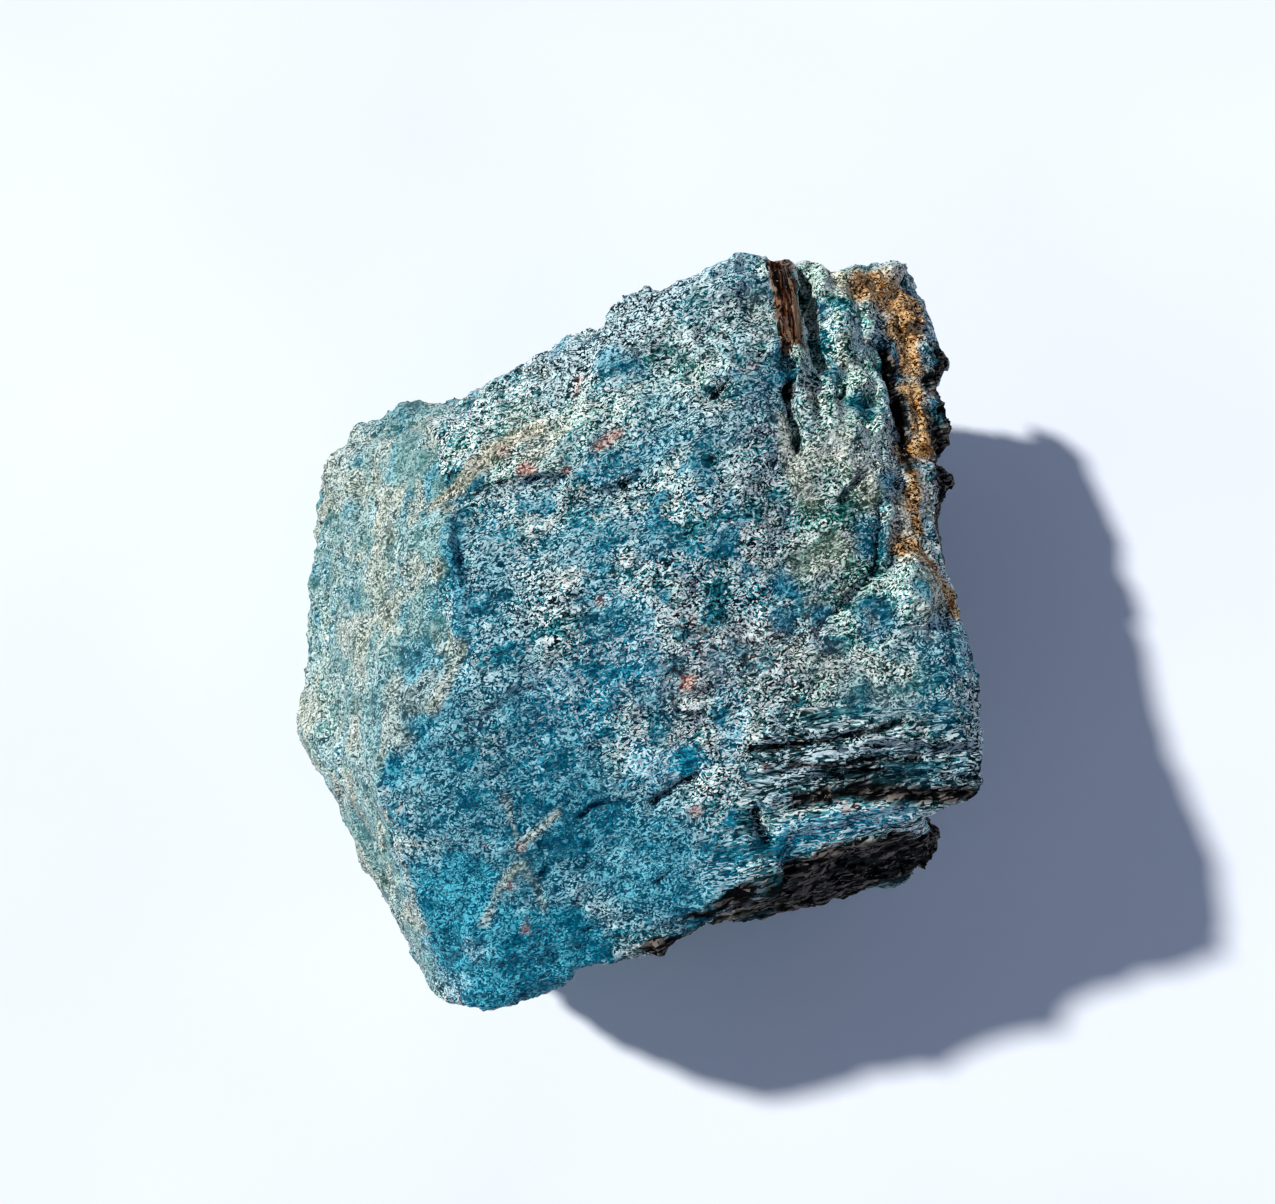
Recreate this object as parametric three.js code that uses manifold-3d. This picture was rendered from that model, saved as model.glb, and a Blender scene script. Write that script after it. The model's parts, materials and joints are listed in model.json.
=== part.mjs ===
// Rough apatite: one broken chunk of massive, sugary blue apatite rock.
// Millimetres, +Z up. The stone rests on a flat break at z = 0, and the origin is on the floor
// under the middle of its outline. +X is east, +Y is north and the crown of the top face is up.
import * as THREE from 'three';
import { ConvexGeometry } from 'three/addons/geometries/ConvexGeometry.js';
import { mergeVertices } from 'three/addons/utils/BufferGeometryUtils.js';
import Module from 'manifold-3d';

const wasm = await Module();
wasm.setup();

// Corners of the main block, each as [x, y, height].
const CROWN = [4.5, -1.5, 39.5];
const TOP_RIM = [
  [-14.5, 15.5, 29.5], [-8.7, 18.4, 30.5], [4.7, 26.4, 34], [11.5, 29.8, 35], [14.7, 29.5, 34.5],
  [27.5, 32.8, 23], [30.3, 26.7, 24], [27.7, -2.5, 34], [27.1, -9.3, 37], [30.3, -15.3, 38],
  [8, -23.8, 34.5], [-4.6, -30.2, 30.5], [-9.8, -33.9, 29], [-14.1, -33.3, 25], [-15, -27, 29],
  [-19, -13, 31], [-10.7, -6.8, 36.5], [-13, 4, 35.5],
];
const WEST_FOOT = [
  [-20.4, 18.8, 14], [-29, 18.2, 9], [-29.6, 14, 8], [-29.4, 0.7, 6], [-31, -9, 6],
  [-26.3, -16.3, 8], [-19.6, -26.6, 12], [-16, -32, 18],
];
const WALL_BULGES = [
  [-4.8, 24.8, 12], [14, 30, 15], [25, 28, 9], [29.2, 8, 12], [28.9, -6, 15], [-7, -28.6, 13],
];
const FLAT_BREAK = [
  [-24, 12], [-26, -7], [-16, -23], [0, -25], [21, -18], [26, 0], [23, 21], [8, 25], [-14, 21],
];

// The low shoulder at the north-west corner, which stands out past the line of the north edge.
const SHOULDER = [
  [-20.4, 23, 14.3], [-16, 22.9, 15], [-26.4, 20.2, 11], [-12.5, 19.4, 17],
  [-16, 14, 25], [-25, 13, 14], [-11, 15, 15], [-20, 17, 2], [-14, 20, 2], [-25, 14, 4],
];

// The dark skirt that stands out below the south-east lip, and the rock that joins it to the block.
const SKIRT = [
  [6, -25, 33], [16, -20.5, 34.5], [26, -17.5, 33.5], [29.3, -19.2, 22], [29.2, -23.8, 10],
  [21.4, -24.8, 13.5], [14.3, -25.5, 19.5], [7.8, -26.5, 26],
  [20, -12, 2], [4, -20, 4], [26, -8, 3], [10, -12, 30],
];

// The low shelf at the north-east: its west wall leans, from a top edge to a lower foot.
const SHELF_FLOOR = [[16.7, 34, 29.4], [16.9, 15, 36], [34, 11, 29.2], [34, 37, 21.1]];
const SHELF_OPEN_TOP = [[14.4, 34, 40], [15.6, 15, 40], [34, 11, 40], [34, 37, 40]];

// The brown, fibrous break that slopes down to the shelf from the top face.
const BROWN_SLOPE = [
  [12.8, 34, 35.6], [15.1, 21.4, 35.6], [17.2, 34, 32.6], [17.4, 21.4, 34],
  [12.8, 34, 42], [15.1, 21.4, 42], [17.2, 34, 42], [17.4, 21.4, 42],
];

// The north edge: a block that stands out of it, and the notch beside the block.
const NORTH_BLOCK = [
  [3.6, 27.9, 33], [1.2, 26.5, 33], [-0.6, 24.7, 32.2], [4.5, 26.3, 34.3], [2.5, 24, 33.8],
  [3.2, 27, 23], [-0.4, 24.4, 22], [4, 25, 22],
];
const NORTH_NOTCH = [
  [4.9, 25.9, 37], [4.2, 29, 37], [6.8, 28.8, 37], [5, 27.4, 29], [4.4, 29, 29], [6.4, 28.8, 29],
];

// The east wall is split off along the grain, steeper than the shelf above it.
const EAST_SPLIT = [
  [28.6, 24, 28.2], [27.9, 4, 33.2], [29.2, -2, 34.6], [30.8, 24, 20], [29.8, 4, 25], [30.4, -2, 27],
  [36, 24, 36], [36, -2, 36], [36, 24, 18], [36, -2, 22],
];
const EAST_SPIKES = [
  [[28, 25, 27.6], [28, 20.6, 28.8], [31.2, 23, 25], [30.4, 25, 18], [30.2, 21, 18], [26, 23, 20]],
  [[28, 20, 29], [28, 13, 30.8], [31.1, 16.6, 27.6], [30, 20.2, 20], [29.8, 13.4, 21], [26, 16, 20]],
  [[28, 13.5, 30.6], [28, 8, 32.2], [31.1, 11.3, 28.2], [29.8, 13.7, 22], [29.5, 9, 22], [26, 11, 20]],
];

// The south-east corner: the lit ledge slopes away under the dark layers.
const LIT_LEDGE = [
  [14, -19.2, 35.6], [15, -16.8, 36.4], [31, -16.4, 36.2], [31, -21, 31.8], [14, -24, 31.5],
  [14, -19.2, 45], [31, -16.4, 45], [31, -26, 45], [14, -26, 45],
];

// Grooves and cracks: points along each on plan, width at the top and depth.
const GROOVES = [
  { path: [[17, 29.5], [17.5, 25], [18.2, 20]], width: 1.2, depth: 2.4 },
  { path: [[15.2, 21.4], [15.4, 16.6], [15.9, 13]], width: 0.6, depth: 1.2 },
  { path: [[24.3, 23.4], [24.8, 18.4], [25.1, 14], [25.5, 11]], width: 1, depth: 2 },
  { path: [[4.5, -15.8], [7.9, -14]], width: 1.2, depth: 1.2 },
  { path: [[12.2, -16.4], [13.3, -18.8]], width: 1.1, depth: 1.5 },
  { path: [[-2, -16.8], [1.9, -15.5]], width: 0.9, depth: 0.9 },
  { path: [[12.6, -11.5], [17.3, -10.8]], width: 0.8, depth: 0.9 },
  { path: [[-10.4, -20.6], [-9.6, -22.4]], width: 1, depth: 1 },
];

// Ledges: along a line the top face drops by the third number of each point. It comes back up
// over the run.
const LEDGES = [
  {
    line: [
      [-13, 9, 0.1], [-9, 9.9, 0.9], [-3.6, 10.5, 1], [-0.2, 8.6, 1], [4.2, 10.8, 0.8], [7, 11.4, 0.1],
    ],
    run: [1, -11],
  },
  {
    line: [
      [23.2, 10.6, 0.1], [22.9, 7.6, 0.7], [22.3, 3.4, 1.1], [20.1, 0.9, 1], [17, -2.6, 0.8],
      [15.6, -3.4, 0.1],
    ],
    run: [7, -5],
  },
  { line: [[15, -10.6, 0.1], [19, -10.6, 0.7], [31, -11.4, 0.9]], run: [0, -3.2] },
  { line: [[13, -13.4, 0.1], [17.5, -13, 0.9], [24, -12.6, 1.1], [31, -13.2, 1]], run: [0, -3.4] },
  { line: [[11, -15.6, 0.1], [15.5, -15, 1], [23, -14.2, 1.2], [31, -14.9, 1.2]], run: [0, -4] },
  {
    line: [[-14, 4.5, 0.1], [-12.6, 2, 0.8], [-12.9, -1.4, 1], [-11.4, -4.6, 0.9], [-10, -7, 0.1]],
    run: [-6, -2],
  },
  { line: [[-3.4, 21, 0.1], [-2.4, 19.4, 0.7], [-1.6, 16.6, 0.8], [-2.4, 14.2, 0.1]], run: [-7, 1] },
];

// Lumps that stand up from the surface: plan position, half sizes, turn in degrees, and rise.
const LUMPS = [
  { at: [16.6, 20], half: [0.9, 2.6], turn: -12, rise: 1.1 },
  { at: [18.7, 27.9], half: [1.2, 2.2], turn: 2, rise: 1.2 },
  { at: [21.8, 29.2], half: [1.9, 1.6], turn: 12, rise: 0.9 },
  { at: [20.4, 24.9], half: [1.3, 4.2], turn: -3, rise: 1.2 },
  { at: [23.2, 25.4], half: [1, 3.2], turn: 3, rise: 0.9 },
  { at: [18.8, 18.2], half: [0.9, 3.8], turn: -8, rise: 0.8 },
  { at: [21.6, 18.6], half: [1.2, 2.3], turn: -14, rise: 1.3 },
  { at: [23.6, 16.8], half: [0.8, 4.4], turn: -3, rise: 1.1 },
  { at: [21.2, 11.6], half: [2.2, 3.2], turn: 34, rise: 0.8 },
  { at: [28.4, 26.6], half: [1.7, 2.4], turn: 10, rise: 1.4 },
  { at: [26.4, 31.4], half: [1.9, 1.4], turn: 30, rise: 1.3 },
  { at: [25.2, 1.2], half: [2.4, 3], turn: -20, rise: 0.8 },
  { at: [-11.2, 13.2], half: [3.4, 2.4], turn: 25, rise: 0.8 },
  { at: [-8.2, -28], half: [4.6, 3], turn: -30, rise: 0.8 },
  { at: [1.2, 22.6], half: [4.2, 2.2], turn: 28, rise: 0.7 },
  { at: [9.4, 27], half: [4.6, 2.2], turn: 6, rise: 0.8 },
];

// Flakes broken out of the walls: a point on the wall, the flake's radius and depth, and the
// side it was struck from in degrees.
const FLAKES = [
  { at: [-29.6, 5.4, 7], radius: 5.6, depth: 1.3, from: 90 },
  { at: [-27, 3, 15], radius: 6, depth: 1.2, from: 40 },
  { at: [-24.5, -9, 17], radius: 6.5, depth: 1.1, from: 200 },
  { at: [-22, 12, 20], radius: 5.5, depth: 1.1, from: 130 },
  { at: [-20, -21, 20], radius: 5, depth: 1.1, from: 300 },
  { at: [-8, 22, 22], radius: 6.5, depth: 1.4, from: 60 },
  { at: [4, 27, 20], radius: 7.5, depth: 1.6, from: 170 },
  { at: [15, 29, 22], radius: 6, depth: 1.5, from: 280 },
  { at: [22, 29, 12], radius: 6, depth: 1.5, from: 10 },
  { at: [-13, 22.5, 9], radius: 6, depth: 1.3, from: 220 },
  { at: [30.1, -4, 31], radius: 7.5, depth: 1.5, from: 70 },
  { at: [29, 17, 12], radius: 6.5, depth: 1.4, from: 190 },
  { at: [29.5, -10, 26], radius: 4.5, depth: 1.1, from: 320 },
  { at: [-3, -29.5, 20], radius: 7, depth: 1.5, from: 110 },
  { at: [-10, -28, 9], radius: 6, depth: 1.2, from: 240 },
  { at: [6, -26, 12], radius: 5, depth: 1.2, from: 20 },
  { at: [0.2, -28.6, 28], radius: 5.4, depth: 1.9, from: 200 },
  { at: [20.4, 31.4, 27], radius: 3.4, depth: 1.1, from: 250 },
];

// Roughness of the break: each scale of unevenness, with its reach sideways and up.
const UNEVENNESS = [
  { wavelength: 13, reach: 0.75, channel: 1 },
  { wavelength: 5.2, reach: 0.5, channel: 5 },
  { wavelength: 3.1, reach: 0.26, channel: 9 },
];
const FLAT_FADE = 3;

// How finely the surface is faceted: the longest and the shortest edge, how far a joined edge may
// move the surface, and how nearly the faces beside it must keep their direction.
const FACE_EDGE = 2.6;
const SHORT_EDGE = 1.1;
const JOIN_STRAY = 0.16;
const LEAST_AGREEMENT = 0.6;
const SPLIT_SHARE = 0.7;
const MERGE_WITHIN = 1e-4;

// A groove runs a little past its ends, and a cutter reaches well above the surface it opens.
const GROOVE_OVERRUN = 0.35;
const ABOVE = 6;
const SKIM = 0.05;
const LIFT = 0.1;
const LEAST_UPWARD = 0.05;

// A lump's outline for half sizes of 1, and how its foot and its top differ from it.
const LUMP_RING = [[-1, -0.5], [-0.4, -1], [0.7, -0.9], [1, 0.1], [0.6, 1], [-0.8, 0.8]];
const LUMP_FOOT = 1.1;
const LUMP_TOP = { across: 0.6, along: 0.72, shiftAcross: -0.12, shiftAlong: 0.08, lower: 0.6 };
const EMBEDDED = 2.5;

// A flake's bowl: its sides, the place of its lowest part, and its wide and narrow sides.
const FLAKE_BOWL = {
  sides: 9, lowest: 0.55, stagger: 0.3, wide: 1.15, narrow: 0.85, mouth: 1.3, floor: 0.22, shallow: 0.8,
};

// Whole numbers that mix a place into a repeatable number.
const MIX = {
  x: 374761393, y: 668265263, z: 2147483647, channel: 362437, first: 1274126177, last: 2246822519,
};
const MIX_RANGE = 2 ** 32;

// One convex solid around the given points.
function hullSolid(points) {
  const vectors = points.map((point) => new THREE.Vector3(...point));
  const geometry = new ConvexGeometry(vectors);
  geometry.deleteAttribute('normal');
  geometry.deleteAttribute('uv');
  const merged = mergeVertices(geometry, MERGE_WITHIN);
  const vertProperties = new Float32Array(merged.attributes.position.array);
  const triVerts = new Uint32Array(merged.index.array);
  return new wasm.Manifold(new wasm.Mesh({ numProp: 3, vertProperties, triVerts }));
}

// Face planes of a convex solid, each as its outward normal and its distance from the origin.
function facePlanes(solid) {
  const mesh = solid.getMesh();
  const corner = (index) => new THREE.Vector3().fromArray(mesh.vertProperties, 3 * index);
  const planes = [];
  for (let t = 0; t < mesh.triVerts.length; t += 3) {
    const [a, b, c] = [0, 1, 2].map((k) => corner(mesh.triVerts[t + k]));
    planes.push(new THREE.Plane().setFromCoplanarPoints(a, b, c));
  }
  return planes;
}

const blockPoints = [
  CROWN,
  ...TOP_RIM,
  ...WEST_FOOT,
  ...WALL_BULGES,
  ...FLAT_BREAK.map(([x, y]) => [x, y, 0]),
];
const block = hullSolid(blockPoints);
const blockPlanes = facePlanes(block);
const shelfPlane = new THREE.Plane().setFromCoplanarPoints(
  ...[SHELF_FLOOR[1], SHELF_FLOOR[2], SHELF_FLOOR[0]].map((point) => new THREE.Vector3(...point)),
);

// Height of the top surface over a plan position, with the low shelf cut into the block.
function topAt(x, y) {
  const height = (plane) => -(plane.constant + plane.normal.x * x + plane.normal.y * y) / plane.normal.z;
  const upward = blockPlanes.filter((plane) => plane.normal.z > LEAST_UPWARD);
  const blockTop = Math.min(...upward.map(height));
  const onShelf = x > SHELF_FLOOR[0][0] && y > SHELF_FLOOR[1][1];
  return onShelf ? Math.min(blockTop, height(shelfPlane)) : blockTop;
}

// The block's wall nearest to a point: its outward direction, and the point dropped onto it.
function wallUnder(point) {
  const nearest = blockPlanes.reduce((best, plane) => (
    Math.abs(plane.distanceToPoint(point)) < Math.abs(best.distanceToPoint(point)) ? plane : best
  ));
  return { normal: nearest.normal.clone(), foot: nearest.projectPoint(point, new THREE.Vector3()) };
}

// V-shaped cutters along a path on the top surface, one for each stretch.
function grooveCutters({ path, width, depth }) {
  return path.slice(1).map(([x1, y1], index) => {
    const [x0, y0] = path[index];
    const along = new THREE.Vector2(x1 - x0, y1 - y0).normalize();
    const side = new THREE.Vector2(-along.y, along.x).multiplyScalar(width / 2);
    const ends = [[x0, y0], [x1, y1]];
    const corners = ends.flatMap(([x, y], end) => {
      const outward = (end === 0 ? -1 : 1) * width * GROOVE_OVERRUN;
      const [ex, ey] = [x + along.x * outward, y + along.y * outward];
      const z = topAt(x, y);
      return [
        [ex + side.x, ey + side.y, z + LIFT], [ex - side.x, ey - side.y, z + LIFT],
        [ex + 2 * side.x, ey + 2 * side.y, z + ABOVE], [ex - 2 * side.x, ey - 2 * side.y, z + ABOVE],
        [x, y, z - depth],
      ];
    });
    return hullSolid(corners);
  });
}

// Wedge cutters for a ledge, one for each stretch: full drop along the line, none at the run's end.
function ledgeCutters({ line, run }) {
  const [dx, dy] = run;
  return line.slice(1).map((end, index) => {
    const corners = [line[index], end].flatMap(([x, y, drop]) => {
      const z = topAt(x, y);
      const farZ = topAt(x + dx, y + dy);
      const highest = Math.max(z, farZ) + ABOVE;
      const [farX, farY] = [x + dx, y + dy];
      return [[x, y, z - drop], [x, y, highest], [farX, farY, farZ + SKIM], [farX, farY, highest]];
    });
    return hullSolid(corners);
  });
}

// A small uneven block with sloping sides that stands up from the top surface.
function lumpSolid({ at, half, turn, rise }) {
  const [cx, cy] = at;
  const angle = THREE.MathUtils.degToRad(turn);
  const plan = (u, v) => {
    const [across, along] = [u * half[0], v * half[1]];
    const x = cx + across * Math.cos(angle) - along * Math.sin(angle);
    const y = cy + across * Math.sin(angle) + along * Math.cos(angle);
    return [x, y];
  };
  const sunk = LUMP_RING.map(([u, v]) => {
    const [x, y] = plan(LUMP_FOOT * u, LUMP_FOOT * v);
    return [x, y, topAt(x, y) - EMBEDDED];
  });
  const level = LUMP_RING.map(([u, v]) => {
    const [x, y] = plan(u, v);
    return [x, y, topAt(x, y) - LIFT];
  });
  const raised = LUMP_RING.map(([u, v], index) => {
    const across = LUMP_TOP.across * u + LUMP_TOP.shiftAcross;
    const [x, y] = plan(across, LUMP_TOP.along * v + LUMP_TOP.shiftAlong);
    return [x, y, topAt(x, y) + rise * (index % 2 === 0 ? 1 : LUMP_TOP.lower)];
  });
  return hullSolid([...sunk, ...level, ...raised]);
}

// A shallow faceted bowl broken out of a wall, steep on the side it was struck from.
function flakeCutter({ at, radius, depth, from }) {
  const centre = new THREE.Vector3(...at);
  const { normal, foot } = wallUnder(centre);
  const turn = new THREE.Quaternion().setFromUnitVectors(new THREE.Vector3(0, 0, 1), normal);
  const place = (u, v, w) => new THREE.Vector3(u, v, w).applyQuaternion(turn).add(foot).toArray();
  const struck = THREE.MathUtils.degToRad(from);
  const { sides, lowest, stagger, wide, narrow, mouth, floor, shallow } = FLAKE_BOWL;
  const [lowU, lowV] = [lowest * radius * Math.cos(struck), lowest * radius * Math.sin(struck)];
  const points = [];
  for (let k = 0; k < sides; k += 1) {
    const angle = (2 * Math.PI * (k + stagger * (k % 2))) / sides;
    const reach = radius * (k % 3 === 0 ? wide : narrow);
    const [u, v] = [reach * Math.cos(angle), reach * Math.sin(angle)];
    const bottom = -depth * (k % 2 === 0 ? 1 : shallow);
    points.push(place(u, v, SKIM));
    points.push(place(u * mouth, v * mouth, radius));
    points.push(place(lowU + u * floor, lowV + v * floor, bottom));
  }
  return hullSolid(points);
}

// A repeatable number from 0 to 1 for a whole-number place.
function scatter(ix, iy, iz, channel) {
  let mixed = Math.imul(ix, MIX.x) + Math.imul(iy, MIX.y) + Math.imul(iz, MIX.z);
  mixed = Math.imul((mixed + Math.imul(channel, MIX.channel)) ^ (mixed >>> 13), MIX.first);
  mixed = Math.imul(mixed ^ (mixed >>> 16), MIX.last);
  return ((mixed ^ (mixed >>> 15)) >>> 0) / MIX_RANGE;
}

// Smooth unevenness from -1 to 1 at a point, with one bump about every unit.
function smoothNoise(x, y, z, channel) {
  const [ix, iy, iz] = [x, y, z].map(Math.floor);
  const [fx, fy, fz] = [x - ix, y - iy, z - iz].map((f) => f * f * (3 - 2 * f));
  let total = 0;
  for (let corner = 0; corner < 8; corner += 1) {
    const [cx, cy, cz] = [corner & 1, (corner >> 1) & 1, corner >> 2];
    const weight = (cx ? fx : 1 - fx) * (cy ? fy : 1 - fy) * (cz ? fz : 1 - fz);
    total += weight * scatter(ix + cx, iy + cy, iz + cz, channel);
  }
  return 2 * total - 1;
}

// Joins the ends of edges shorter than the limit, where the surface keeps its shape and stays closed.
function joinShortEdges(positions, triangles, limit) {
  const points = positions.map((point) => point.clone());
  let faces = triangles.map((face) => [...face]);
  let joined = true;
  while (joined) {
    joined = false;
    const facesAt = points.map(() => []);
    for (const face of faces) {
      face.forEach((corner) => facesAt[corner].push(face));
    }
    const settled = new Set();
    for (const [a, b] of shortEdges(points, faces, limit)) {
      const ringOf = (end) => new Set(facesAt[end].flat().filter((corner) => corner !== end));
      const rings = [ringOf(a), ringOf(b)];
      const shared = [...rings[0]].filter((corner) => rings[1].has(corner));
      const nearby = [...rings[0], ...rings[1]];
      if (shared.length !== 2 || nearby.some((corner) => settled.has(corner))) continue;
      const around = [...new Set([...facesAt[a], ...facesAt[b]])];
      const [kept, dropped] = better(points, around, a, b);
      if (kept < 0) continue;
      for (const face of around) {
        const renamed = face.map((corner) => (corner === dropped ? kept : corner));
        face.splice(0, face.length, ...renamed);
      }
      nearby.forEach((corner) => settled.add(corner));
      joined = true;
    }
    faces = faces.filter(([a, b, c]) => a !== b && b !== c && c !== a);
  }
  return { points, faces: withoutFlatPairs(faces) };
}

// The faces without any two that lie back to back on the same three corners.
function withoutFlatPairs(faces) {
  const keyOf = (face) => [...face].sort((one, other) => one - other).join();
  const counts = new Map();
  for (const face of faces) {
    counts.set(keyOf(face), (counts.get(keyOf(face)) ?? 0) + 1);
  }
  return faces.filter((face) => counts.get(keyOf(face)) === 1);
}

// Edges under the limit as pairs of corners, the shortest first.
function shortEdges(points, faces, limit) {
  const edges = [];
  for (const [a, b, c] of faces) {
    for (const [start, end] of [[a, b], [b, c], [c, a]]) {
      const length = points[start].distanceTo(points[end]);
      if (start < end && length < limit) edges.push([start, end, length]);
    }
  }
  return edges.sort((one, other) => one[2] - other[2]);
}

// Which end of a short edge can stand for both: the kept and the dropped corner, or -1 for none.
function better(points, around, a, b) {
  const strays = [[a, b], [b, a]].map(([kept, dropped]) => strayOfJoin(points, around, kept, dropped));
  if (Math.min(...strays) > JOIN_STRAY) return [-1, -1];
  return strays[0] <= strays[1] ? [a, b] : [b, a];
}

// How far the faces would stray from where they are if one corner stood for both.
function strayOfJoin(points, around, kept, dropped) {
  if (points[dropped].z === 0 && points[kept].z !== 0) return Infinity;
  let stray = 0;
  for (const face of around) {
    if (!face.includes(dropped)) continue;
    const before = planeOf(face.map((corner) => points[corner]));
    stray = Math.max(stray, Math.abs(before.distanceToPoint(points[kept])));
    if (face.includes(kept)) continue;
    const after = planeOf(face.map((corner) => points[corner === dropped ? kept : corner]));
    if (before.normal.dot(after.normal) < LEAST_AGREEMENT) return Infinity;
  }
  return stray;
}

// The plane of three points.
function planeOf([a, b, c]) {
  return new THREE.Plane().setFromCoplanarPoints(a, b, c);
}

// Splits every edge longer than the limit at its middle, until none is left.
function splitLongEdges(positions, triangles, limit) {
  const points = positions.map((point) => point.clone());
  let faces = triangles;
  let longest = Infinity;
  while (longest > limit) {
    longest = 0;
    for (const [a, b, c] of faces) {
      const [ab, bc] = [points[a].distanceTo(points[b]), points[b].distanceTo(points[c])];
      longest = Math.max(longest, ab, bc, points[c].distanceTo(points[a]));
    }
    const cutAbove = Math.max(limit, longest * SPLIT_SHARE);
    const middles = new Map();
    const middle = (a, b) => {
      if (points[a].distanceTo(points[b]) <= cutAbove) return -1;
      const key = a < b ? `${a},${b}` : `${b},${a}`;
      if (!middles.has(key)) {
        middles.set(key, points.length);
        points.push(points[a].clone().add(points[b]).multiplyScalar(0.5));
      }
      return middles.get(key);
    };
    faces = faces.flatMap(([a, b, c]) => {
      const halfway = [middle(a, b), middle(b, c), middle(c, a)];
      return splitFace(points, [a, b, c], halfway);
    });
  }
  return { points, faces };
}

// One triangle, split at whichever of its three sides has a middle point.
function splitFace(points, [a, b, c], [ab, bc, ca]) {
  const marked = [ab, bc, ca].filter((index) => index >= 0).length;
  if (marked === 0) return [[a, b, c]];
  if (marked === 3) return [[a, ab, ca], [ab, b, bc], [ca, bc, c], [ab, bc, ca]];
  if (marked === 1) {
    if (ab >= 0) return [[a, ab, c], [ab, b, c]];
    if (bc >= 0) return [[b, bc, a], [bc, c, a]];
    return [[c, ca, b], [ca, a, b]];
  }
  if (ab < 0) return splitTwoSides(points, [c, a, b], [ca, bc]);
  if (bc < 0) return splitTwoSides(points, [a, b, c], [ab, ca]);
  return splitTwoSides(points, [b, c, a], [bc, ab]);
}

// A triangle with a middle point on both sides that meet at its first corner.
function splitTwoSides(points, [tip, left, right], [towardLeft, towardRight]) {
  const faces = [[tip, towardLeft, towardRight]];
  const first = points[towardLeft].distanceTo(points[right]);
  const second = points[left].distanceTo(points[towardRight]);
  if (first < second) {
    faces.push([towardLeft, left, right], [towardLeft, right, towardRight]);
  } else {
    faces.push([towardLeft, left, towardRight], [left, right, towardRight]);
  }
  return faces;
}

// Moves a point by the unevenness of the break. The flat break it rests on stays flat.
function roughen(point) {
  const shift = new THREE.Vector3();
  for (const { wavelength, reach, channel } of UNEVENNESS) {
    const place = point.clone().divideScalar(wavelength);
    const part = [0, 1, 2].map((axis) => smoothNoise(place.x, place.y, place.z, channel + axis));
    shift.add(new THREE.Vector3(...part).multiplyScalar(reach));
  }
  shift.z *= THREE.MathUtils.smoothstep(point.z, 0, FLAT_FADE);
  return point.clone().add(shift);
}

// The whole stone as one solid, before its break is roughened.
function carveStone() {
  const shelf = hullSolid([...SHELF_FLOOR, ...SHELF_OPEN_TOP]);
  const added = [SHOULDER, NORTH_BLOCK, SKIRT].map(hullSolid);
  const removed = [NORTH_NOTCH, BROWN_SLOPE, EAST_SPLIT, LIT_LEDGE].map(hullSolid);
  let stone = added.reduce((solid, piece) => solid.add(piece), block.subtract(shelf));
  stone = removed.reduce((solid, cutter) => solid.subtract(cutter), stone);
  stone = EAST_SPIKES.map(hullSolid).reduce((solid, spike) => solid.add(spike), stone);
  stone = LEDGES.flatMap(ledgeCutters).reduce((solid, cutter) => solid.subtract(cutter), stone);
  stone = LUMPS.map(lumpSolid).reduce((solid, lump) => solid.add(lump), stone);
  stone = FLAKES.map(flakeCutter).reduce((solid, flake) => solid.subtract(flake), stone);
  return GROOVES.flatMap(grooveCutters).reduce((solid, groove) => solid.subtract(groove), stone);
}

// The stone's surface: faces split small, roughened, and centred over the origin.
function stoneGeometry() {
  const mesh = carveStone().getMesh();
  const corners = [];
  for (let k = 0; k < mesh.vertProperties.length; k += 3) {
    corners.push(new THREE.Vector3().fromArray(mesh.vertProperties, k));
  }
  const triangles = [];
  for (let t = 0; t < mesh.triVerts.length; t += 3) {
    triangles.push(Array.from(mesh.triVerts.slice(t, t + 3)));
  }
  const coarse = joinShortEdges(corners, triangles, SHORT_EDGE);
  const fine = splitLongEdges(coarse.points, coarse.faces, FACE_EDGE);
  const { points, faces } = joinShortEdges(fine.points, fine.faces, SHORT_EDGE);
  const loose = new THREE.BufferGeometry().setFromPoints(points.map(roughen));
  loose.setIndex(faces.flat());
  const geometry = mergeVertices(loose.toNonIndexed());
  geometry.computeBoundingBox();
  const middle = geometry.boundingBox.getCenter(new THREE.Vector3());
  geometry.translate(-middle.x, -middle.y, 0);
  geometry.computeVertexNormals();
  return geometry;
}

// Sea-blue rock with a dull, sugary break.
function apatiteMaterial() {
  return new THREE.MeshStandardMaterial({
    color: 0x2f7186,
    roughness: 0.55,
    metalness: 0,
    flatShading: true,
  });
}

const stone = new THREE.Mesh(stoneGeometry(), apatiteMaterial());
stone.name = 'rough_apatite';

const specimen = new THREE.Group();
specimen.add(stone);

export default specimen;
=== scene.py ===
"""Rough apatite: the dressed stone, with its pale floor, its soft light and its camera."""

import json
import logging
import math
from dataclasses import dataclass
from enum import Enum, IntEnum

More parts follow.
